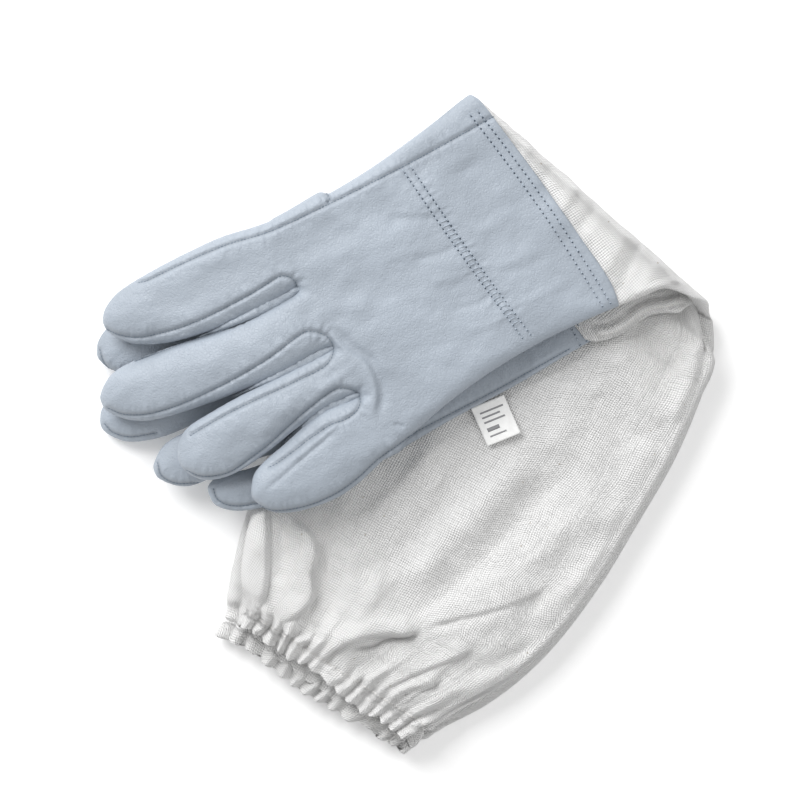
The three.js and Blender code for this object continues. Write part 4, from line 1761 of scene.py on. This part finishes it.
# Felled seam near the side of the upper sleeve.
SLEEVE_SEAM = (
    (96.0, 46.5), (103.0, 47.5), (110.0, 51.0), (116.0, 56.0), (123.0, 59.6), (131.0, 60.8), (138.0, 62.6),
)


def right_sleeve() -> Sleeve:
    """The upper sleeve, of the lower glove, whose lying part is the most seen."""
    strip = [
        Station((24.0, 128.0, 23.6), (90.5, 42.6, 23.6), 0, 2.6),
        Station((27.0, 146.0, 23.4), (97.0, 41.8, 23.4), 0, 2.6),
        Station((28.0, 154.0, 23.4), (108.0, 45.2, 23.2), 0, 2.6),
        Station((28.6, 157.0, 23.4), (121.0, 54.0, 23.4), 0, 2.6),
        Station((28.8, 158.2, 23.2), (130.5, 56.2, 23.4), 0, 2.6),
    ]
    fold = fold_stations((31.2, 161.0), (146.6, 63.2), (1.4, 9.0), (22.8, 11.8), (2.4, 2.4), (-2.5, 15.5))
    under = [
        Station((19.0, 138.0, 12.9), (156.2, 34.6, 12.9), 180, 3.3),
        Station((9.2, 121.2, 13.6), (155.4, 26.0, 13.6), 180, 4.2),
        Station((-14.8, 84.2, 13.8), (149.2, 13.2, 13.8), 180, 4.4),
        Station((-40.8, 40.2, 13.8), (134.2, -17.8, 13.8), 180, 4.4),
        Station((-60.8, 1.2, 13.8), (116.2, -48.8, 13.8), 180, 4.4),
        Station((-74.0, -33.8, 13.8), (95.2, -82.8, 13.8), 180, 4.4),
        Station((-80.8, -60.8, 13.8), (71.2, -113.3, 13.8), 180, 4.4),
        Station((-82.0, -78.0, 13.8), (44.2, -135.4, 13.8), 180, 4.4),
        Station((-79.6, -91.6, 13.8), (14.4, -150.4, 13.8), 180, 4.4),
        Station((-84.2, -101.8, 13.6), (1.4, -160.4, 13.6), 180, 4.2),
    ]
    under_creases = (
        Crease(((-45, -120), (-37.5, -112), (-25, -106.2), (-9.5, -103.4), (-1, -104), (8, -103)), 4.6, 3.8, 0.85),
        Crease(((8, -101), (30, -95), (52, -89), (72, -80)), 2.2, 5.5, 0.8),
        Crease(((-27, -113), (-16, -112), (-9, -108.6), (6, -107)), -3.6, 2.2),
        Crease(((10, -108), (34, -101), (60, -92)), 1.9, 5.0, -0.3),
        Crease(((-17, -138), (-9, -130.5), (3, -124.5), (19, -118), (34, -112)), 3.2, 4.2, 0.8),
        Crease(((-11, -145), (-3, -140), (6, -134), (18, -128)), 2.4, 3.6, 0.8),
        Crease(((-71.5, -38), (-71.5, -60), (-72, -78), (-75, -93)), 4.6, 4.4, -0.85),
        Crease(((-56, -48), (-48.5, -57), (-46.8, -65), (-49, -73), (-48.4, -84), (-51.5, -90.5), (-63, -100)),
               4.8, 4.6, -0.85),
        Crease(((-43, -56), (-41, -68), (-43, -84), (-50, -96)), -1.8, 3.6),
        Crease(((-62, -50), (-62, -66), (-63, -80)), -1.6, 4.0),
        Crease(((-30, -62), (-28, -80), (-36, -98), (-46, -110)), 2.2, 4.6, 0.4),
        Crease(((-12, -70), (-16, -86), (-28, -100)), 1.8, 5.4, -0.3),
        Crease(((84, -20), (62, -42), (38, -67), (18, -86), (-2, -100)), -3.4, 8.0, -0.3),
        Crease(((100, -30), (78, -54), (52, -76), (26, -94)), 3.0, 8.5, 0.3),
        Crease(((64, -14), (42, -36), (20, -60), (0, -84)), 2.8, 8.0, 0.3),
        Crease(((40, -10), (22, -34), (4, -56), (-14, -78)), -2.4, 7.0),
        Crease(((18, -6), (0, -30), (-20, -52), (-32, -70)), 2.0, 7.0, 0.3),
        Crease(((112, 50), (121, 45), (130, 36), (138, 26)), -4.6, 6.0, 0.3),
        Crease(((104, 38), (112, 26), (122, 10), (130, 0)), 2.6, 6.5, 0.3),
        Crease(((142, 42), (145, 32), (143, 18), (136, 0)), 2.6, 5.0, -0.4),
        Crease(((96, 18), (104, 2), (112, -14)), -2.0, 7.0),
        Crease(((126, -8), (114, -30), (98, -54)), 2.2, 7.0),
        Crease(((84, 26), (82, 4), (72, -14)), 1.8, 8.5),
        Crease(((104, -60), (84, -82), (62, -102)), 2.0, 6.0, 0.3),
        Crease(((66, -110), (48, -119), (30, -127)), -1.8, 4.2),
        Crease(((56, -124), (40, -132), (26, -138)), 1.8, 4.4),
        Crease(((-62, -8), (-44, -34), (-30, -52)), 1.6, 6.0),
        Crease(((152, 36), (152, 26), (148, 14)), -1.6, 3.0),
        Crease(((147, 63), (150.5, 54), (152, 44), (151, 34)), -5.0, 1.9),
        Crease(((141, 61), (145.5, 54), (147.5, 44), (146, 34)), 2.2, 2.2),
        Crease(((10, -34), (16, -30), (20, -24)), 0.7, 1.4),
        Crease(((30, -40), (38, -46), (42, -54)), 0.6, 1.6),
        Crease(((52, -70), (62, -66), (70, -58)), -0.7, 1.8),
    )
    seams = (
        Crease(SLEEVE_SEAM, 1.5, 1.5, ripple=0.1, pucker=0.3, blunt=True),
        Crease(tuple((x - 1.3, y + 2.9) for x, y in SLEEVE_SEAM), -1.9, 1.1, pucker=0.3, blunt=True),
        Crease(tuple((x + 1.1, y - 2.6) for x, y in SLEEVE_SEAM), -1.1, 0.9, blunt=True),
    )
    return Sleeve(
        side=Side.RIGHT,
        stations=[*strip, *fold, *under],
        around=350,
        steps=262,
        upper_creases=(),
        under_creases=under_creases,
        seams=seams,
        crowding=1.3,
        blend=(19.8, 15.2),
        flat=(330.0, 330.0),
        cut=178.0,
        seed=47,
    )


# ---------------------------------------------------------------------------------------------------------
# Label


@dataclass
class Label:
    """Care label, sewn by one edge and curling up a little at its free end."""

    plane: HandPlane
    corner: tuple[float, float] = (33.4, -5.2)
    size: tuple[float, float] = (18.0, 21.0)
    lean: float = 0.03
    thickness: float = 0.28

    def build(self, satin: bpy.types.Material, ink: bpy.types.Material) -> None:
        """Makes the label with a few printed bars and fixes it to its joint."""
        low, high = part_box("size_label")
        base = low.z / MM + 0.5
        across, down = 22, 26
        us = np.linspace(0, self.size[0], across)
        vs = np.linspace(0, self.size[1], down)
        u, v = np.meshgrid(us, vs, indexing="ij")
        bend = base + 1.1 * smoothstep(4, 0, v) + 1.9 * smoothstep(10, 22, v) * (0.35 + 0.65 * u / self.size[0])
        bend += 0.8 * np.sin(u / self.size[0] * math.pi) * smoothstep(3, 14, v)
        place = np.stack([self.corner[0] + u + self.lean * v, self.corner[1] - v, bend], axis=-1)
        top = place.reshape(-1, 3)
        points = np.vstack([top + (0, 0, self.thickness), top])
        grid = np.arange(across * down).reshape(across, down)
        cells = np.stack([grid[:-1, :-1], grid[:-1, 1:], grid[1:, 1:], grid[1:, :-1]], axis=-1).reshape(-1, 4)
        rim = np.concatenate([grid[:, 0], grid[-1, 1:], grid[-2::-1, -1], grid[0, -2:0:-1]])
        shift = across * down
        sides = [(a, b, b + shift, a + shift) for a, b in zip(rim, np.roll(rim, -1))]
        faces = [tuple(c) for c in cells[:, ::-1]] + [tuple(c + shift) for c in cells] + sides
        piece = make_object("care_label", self.plane.out(points), faces, satin)
        form = bmesh.new()
        form.from_mesh(piece.data)
        bmesh.ops.recalc_face_normals(form, faces=form.faces)
        form.to_mesh(piece.data)
        form.free()
        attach(piece, "label")
        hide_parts("size_label")
        self.print_bars(place, ink)

    def print_bars(self, place: Array, ink: bpy.types.Material) -> None:
        """Lays thin grey bars on the label as its print."""
        bars = ((3.2, 4.0, 12.4, 0.9), (3.2, 6.6, 9.6, 0.9), (3.2, 9.2, 11.2, 0.9), (3.2, 12.6, 6.4, 2.0), (3.2, 16.6, 8.8, 0.8))
        points: list[tuple[float, float, float]] = []
        faces = []
        us = np.linspace(0, self.size[0], place.shape[0])
        vs = np.linspace(0, self.size[1], place.shape[1])
        for left, top, width, height in bars:
            count = 12
            start = len(points)
            for i in range(count + 1):
                for j in range(2):
                    u, v = left + width * i / count, top + height * j
                    column = np.interp(u, us, np.arange(len(us)))
                    row = np.interp(v, vs, np.arange(len(vs)))
                    a, b = int(column), int(row)
                    fa, fb = column - a, row - b
                    z = place[a, b, 2] * (1 - fa) * (1 - fb) + place[min(a + 1, len(us) - 1), b, 2] * fa * (1 - fb)
                    z += place[a, min(b + 1, len(vs) - 1), 2] * (1 - fa) * fb
                    z += place[min(a + 1, len(us) - 1), min(b + 1, len(vs) - 1), 2] * fa * fb
                    x = self.corner[0] + u + self.lean * v
                    for lift in (self.thickness + 0.1, self.thickness - 0.1):
                        points.append((x, self.corner[1] - v, z + lift))
            for i in range(count):
                k = start + 4 * i
                faces += [(k, k + 4, k + 6, k + 2), (k + 1, k + 3, k + 7, k + 5)]
                faces += [(k, k + 1, k + 5, k + 4), (k + 2, k + 6, k + 7, k + 3)]
            faces += [(start, start + 2, start + 3, start + 1)]
            k = start + 4 * count
            faces += [(k, k + 1, k + 3, k + 2)]
        piece = make_object("label_print", self.plane.out(np.array(points)), faces, ink)
        form = bmesh.new()
        form.from_mesh(piece.data)
        bmesh.ops.recalc_face_normals(form, faces=form.faces)
        form.to_mesh(piece.data)
        form.free()
        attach(piece, "label")


# ---------------------------------------------------------------------------------------------------------
# Stage and assembly


@dataclass(frozen=True)
class Studio:
    """Pale floor, soft light and a camera that looks straight down."""

    middle: tuple[float, float] = (-2.55, 12.45)
    framed: float = 400.0
    plane: float = 30.0
    distance: float = 1600.0

    def build(self) -> None:
        """Makes the stage and sets the scene's camera."""
        scene = bpy.context.scene
        graph = Graph("studio_floor")
        white = (1.0, 1.0, 1.0, 1.0)
        floor_paint = graph.surface(
            {"Base Color": white, "Roughness": 0.9, "Emission Color": white, "Emission Strength": 0.12}
        )
        size = 3000.0
        corners = np.array([(-size, -size, 0), (size, -size, 0), (size, size, 0), (-size, size, 0)], float)
        floor = make_object("studio_floor", corners - (0, 0, 0.05), [(0, 1, 2, 3)], floor_paint)
        data = bpy.data.cameras.new("camera")
        data.sensor_width = 36.0
        data.lens = 36.0 * (self.distance - self.plane) / self.framed
        data.dof.use_dof = False
        data.clip_end = 20.0
        camera = bpy.data.objects.new("camera", data)
        camera.location = (self.middle[0] * MM, self.middle[1] * MM, self.distance * MM)
        scene.collection.objects.link(camera)
        scene.camera = camera
        lamps = [
            self.lamp("key", (-0.85, 1.05, 1.05), 1.15, 30.0),
            self.lamp("fill", (0.95, 0.2, 1.2), 1.3, 5.0),
            self.lamp("low", (-0.2, -1.2, 0.8), 1.2, 1.5),
        ]
        world = bpy.data.worlds.new("studio")
        world.use_nodes = True
        background = world.node_tree.nodes["Background"]
        background.inputs["Color"].default_value = (1.0, 1.0, 1.0, 1.0)
        background.inputs["Strength"].default_value = 0.46
        scene.world = world
        scene.view_settings.view_transform = "Standard"

    @staticmethod
    def lamp(name: str, place: tuple[float, float, float], size: float, power: float) -> bpy.types.Object:
        """Square area light aimed at the middle of the floor."""
        light = bpy.data.lights.new(name, "AREA")
        light.energy = power
        light.size = size
        lamp = bpy.data.objects.new(name, light)
        lamp.location = place
        lamp.rotation_euler = (-Vector(place)).to_track_quat("-Z", "Y").to_euler()
        bpy.context.scene.collection.objects.link(lamp)
        return lamp


def pads(plane: HandPlane) -> list[Pad]:
    """The two thumbs, and the forks between the upper glove's fingers."""
    fork = dict(middle=36.4, half=2.9, pleat=0.7, step=0.7, edge=2.6, sink=7.0)
    return [
        Pad("left_thumb", plane, ((62, 84, 108), (42, 80, 110), (18, 80, 109), (-4, 84, 107), (-14, 91, 101))),
        Pad("right_thumb", plane, ((60, 46, 74), (40, 44, 78), (16, 44, 76), (-5, 48, 72), (-15, 55, 66))),
        Pad(
            "left_index_middle_fork", plane,
            ((-22, 81.2, 83.6), (-30, 78.6, 84.2), (-42, 77.2, 83.2), (-58, 77.2, 81.0), (-78, 78.4, 80.0)), **fork,
        ),
        Pad(
            "left_middle_ring_fork", plane,
            ((-18, 47.6, 50.2), (-26, 45.2, 51.4), (-38, 44.4, 50.4), (-54, 44.2, 47.8), (-74, 44.6, 45.8)), **fork,
        ),
        Pad(
            "left_ring_little_fork", plane,
            ((-15, 21.0, 23.6), (-24, 19.0, 25.2), (-34, 18.4, 25.0), (-46, 16.2, 21.2), (-60, 12.6, 14.6)), **fork,
        ),
    ]


@dataclass
class Stitching:
    """All the stitch rows of the gloves, laid on the finished surfaces."""

    sewing: Sewing
    plane: HandPlane
    hand: LeatherHand
    skin: Drop
    sleeve: Sleeve
    cloth: Drop
    thread: bpy.types.Material
    hole_shade: bpy.types.Material
    seam_thread: bpy.types.Material
    cotton: bpy.types.Material

    def lie(self, rows: Sequence[Path], stand: float, offset: float = 0.0) -> list[Array]:
        """Rows in the hand's plan dropped onto the glove, each begun a little further along."""
        paths = []
        for row in rows:
            plan = spline(row, 240)
            run = np.concatenate([[0], np.cumsum(np.linalg.norm(np.diff(plan, axis=0), axis=1))])
            paths.append(self.skin.onto(self.plane.out(plan[run >= offset]), True, stand))
        return paths

    def cuff(self) -> None:
        """Double rows on the cuff and the wrist, with near-black beads as painted shade in their needle holes, and the
        elastic's ladder.
        """
        for name, rows, pitch in (("cuff", CUFF_ROWS, 2.75), ("wrist", WRIST_ROWS, 2.6)):
            self.ride(self.sewing.row(f"left_{name}_stitches", self.lie(rows, 0.12), self.thread, pitch, 1.9, 0.7))
            holes = self.lie(rows, 0.06, pitch / 2)
            self.ride(self.sewing.row(f"left_{name}_holes", holes, self.hole_shade, pitch, 0.95, 0.9))
        turn = math.radians(80)
        ladder = self.lie((LADDER,), 0.1)
        self.ride(self.sewing.row("left_wrist_ladder", ladder, self.thread, 2.6, 3.4, 0.6, turn))

    def lower_cuff(self) -> None:
        """The ends of the double row on the lower glove's cuff."""
        rows = (((96.5, 24.0), (99.0, 12.0), (99.9, 4.2)), ((92.8, 25.0), (95.2, 12.0), (96.1, 3.6)))
        self.ride(self.sewing.row("right_cuff_stitches", self.lie(rows, 0.12), self.thread, 2.75, 1.9, 0.7))
        # Near-black beads as painted shade in the needle holes.
        holes = self.lie(rows, 0.06, 1.4)
        self.ride(self.sewing.row("right_cuff_holes", holes, self.hole_shade, 2.75, 0.95, 0.9))

    def felled_seam(self) -> None:
        """Stitches on both sides of the sleeve's felled seam."""
        line = spline(SLEEVE_SEAM, 120)
        way = np.gradient(line, axis=0)
        out = np.stack([way[:, 1], -way[:, 0]], axis=1) / np.linalg.norm(way, axis=1)[:, None]
        paths = [self.cloth.onto(line + out * gap, True, 0.1) for gap in (1.5, -1.4)]
        piece = self.sewing.row("right_sleeve_seam", paths, self.cotton, 2.4, 1.8, 0.6)
        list(self.sleeve.bend_line())
        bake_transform(piece)

    def hem(self) -> None:
        """Stitches that hold the elastic in the hem, and loose ends where its thread has frayed."""
        first, last = self.sleeve.stations[-2], self.sleeve.stations[-1]
        length = float(np.linalg.norm(np.subtract(last.left, first.left)[:2]))
        share = 1 - self.sleeve.hem / length
        a = np.array(first.left[:2]) * (1 - share) + np.array(last.left[:2]) * share
        b = np.array(first.right[:2]) * (1 - share) + np.array(last.right[:2]) * share
        line = np.linspace(a + (b - a) * 0.03, b + (a - b) * 0.03, 400)
        laid = self.cloth.onto(line, True, 0.1)
        piece = self.sewing.row("right_hem_stitches", [laid], self.cotton, 2.3, 1.7, 0.55)
        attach(piece, "sleeves")
        chance = np.random.RandomState(19)
        ends = []
        for _ in range(16):
            start = np.array([chance.uniform(-26, 3), 0.0, chance.uniform(10, 16)])
            start[1] = last.right[1] + (last.right[0] - start[0]) * 0.684 + chance.uniform(-1, 4)
            heading = chance.uniform(-2.6, -0.9)
            points = [start]
            for step in range(10):
                heading += chance.uniform(-0.7, 0.7)
                ahead = np.array([math.cos(heading), math.sin(heading), -0.25]) * chance.uniform(0.5, 1.0)
                points.append(points[-1] + ahead)
            ends.append(spline(points, 40))
        loose = self.sewing.row("loose_threads", ends, self.cotton, 0.25, 0.42, 0.3)
        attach(loose, "sleeves")

    def ride(self, piece: bpy.types.Object) -> None:
        """Fixes a row of stitches to the hand's own glove."""
        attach(piece, f"{self.hand.side.value}_glove")

    def seams(self) -> None:
        """Fine closing stitches in every seam, one piece for each leather piece they lie on; the hand's stitches ride
        on its glove.
        """
        parts: dict[str, list[Array]] = {}
        for line in self.hand.seams:
            plan = spline(line.points, 20 * len(line.points))
            depth = np.stack([inside_distance(plan, stall.outline()) for stall in self.hand.stalls])
            beyond = (plan[:, 0] < self.hand.cut_u) & (self.hand.side is Side.LEFT)
            owner = np.where(beyond, depth.argmax(axis=0), -1)
            breaks = np.flatnonzero(np.diff(owner)) + 1
            for stretch in np.split(np.arange(len(plan)), breaks):
                if len(stretch) < 4:
                    continue
                number = owner[stretch[0]]
                part = "hand" if number < 0 else self.hand.stalls[number].finger
                laid = self.skin.onto(self.plane.out(plan[stretch]), True, -0.05)
                parts.setdefault(part, []).append(laid)
        for part, paths in parts.items():
            name = f"{self.hand.side.value}_{part}_seam"
            piece = self.sewing.row(name, paths, self.seam_thread, 1.7, 1.5, 0.5)
            if part == "hand":
                self.ride(piece)
            else:
                start, end = self.hand.bend_line()
                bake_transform(piece)


def main() -> None:
    logging.basicConfig(level=logging.INFO)
    leather = LeatherFinish().material()
    canvas = CanvasFinish().material()
    thread = ThreadFinish("pale_thread", (0.42, 0.475, 0.54, 1.0), 0.6).material()
    # Near-black beads that stand for the painted shade inside the needle holes.
    hole_shade = ThreadFinish("needle_hole", (0.06, 0.08, 0.11, 1.0), 0.8).material()
    seam_thread = ThreadFinish("seam_thread", (0.15, 0.19, 0.24, 1.0), 0.75).material()
    cotton = ThreadFinish("cotton_thread", (0.74, 0.73, 0.71, 1.0), 0.85).material()
    elastic = ThreadFinish("ribbed_elastic", (0.86, 0.85, 0.83, 1.0), 0.8, 1500.0).material()
    satin = ThreadFinish("white_satin", (0.93, 0.93, 0.92, 1.0), 0.42, 5200.0).material()
    ink = ThreadFinish("grey_print", (0.30, 0.30, 0.31, 1.0), 0.6, 5200.0).material()
    plane = HandPlane.from_joint()
    hand = left_hand(plane)
    upper_skin = hand.build(leather)
    under_hand = right_hand(plane)
    under_skin = under_hand.build(leather)
    for pad in pads(plane):
        pad.build(leather)
    WristBand(Side.LEFT, plane, ((53.5, 86), (68.2, 21.5))).build(elastic)
    WristBand(Side.RIGHT, plane, ((37, 73), (51, 12))).build(elastic)
    left_sleeve().build(canvas)
    sleeve = right_sleeve()
    cloth = sleeve.build(canvas)
    Label(plane).build(satin, ink)
    sewing = Sewing()
    stitching = Stitching(sewing, plane, hand, upper_skin, sleeve, cloth, thread, hole_shade, seam_thread, cotton)
    stitching.cuff()
    stitching.seams()
    stitching.felled_seam()
    stitching.hem()
    under = Stitching(sewing, plane, under_hand, under_skin, sleeve, cloth, thread, hole_shade, seam_thread, cotton)
    under.lower_cuff()
    under.seams()
    Studio().build()


if __name__ == "__main__":
    main()
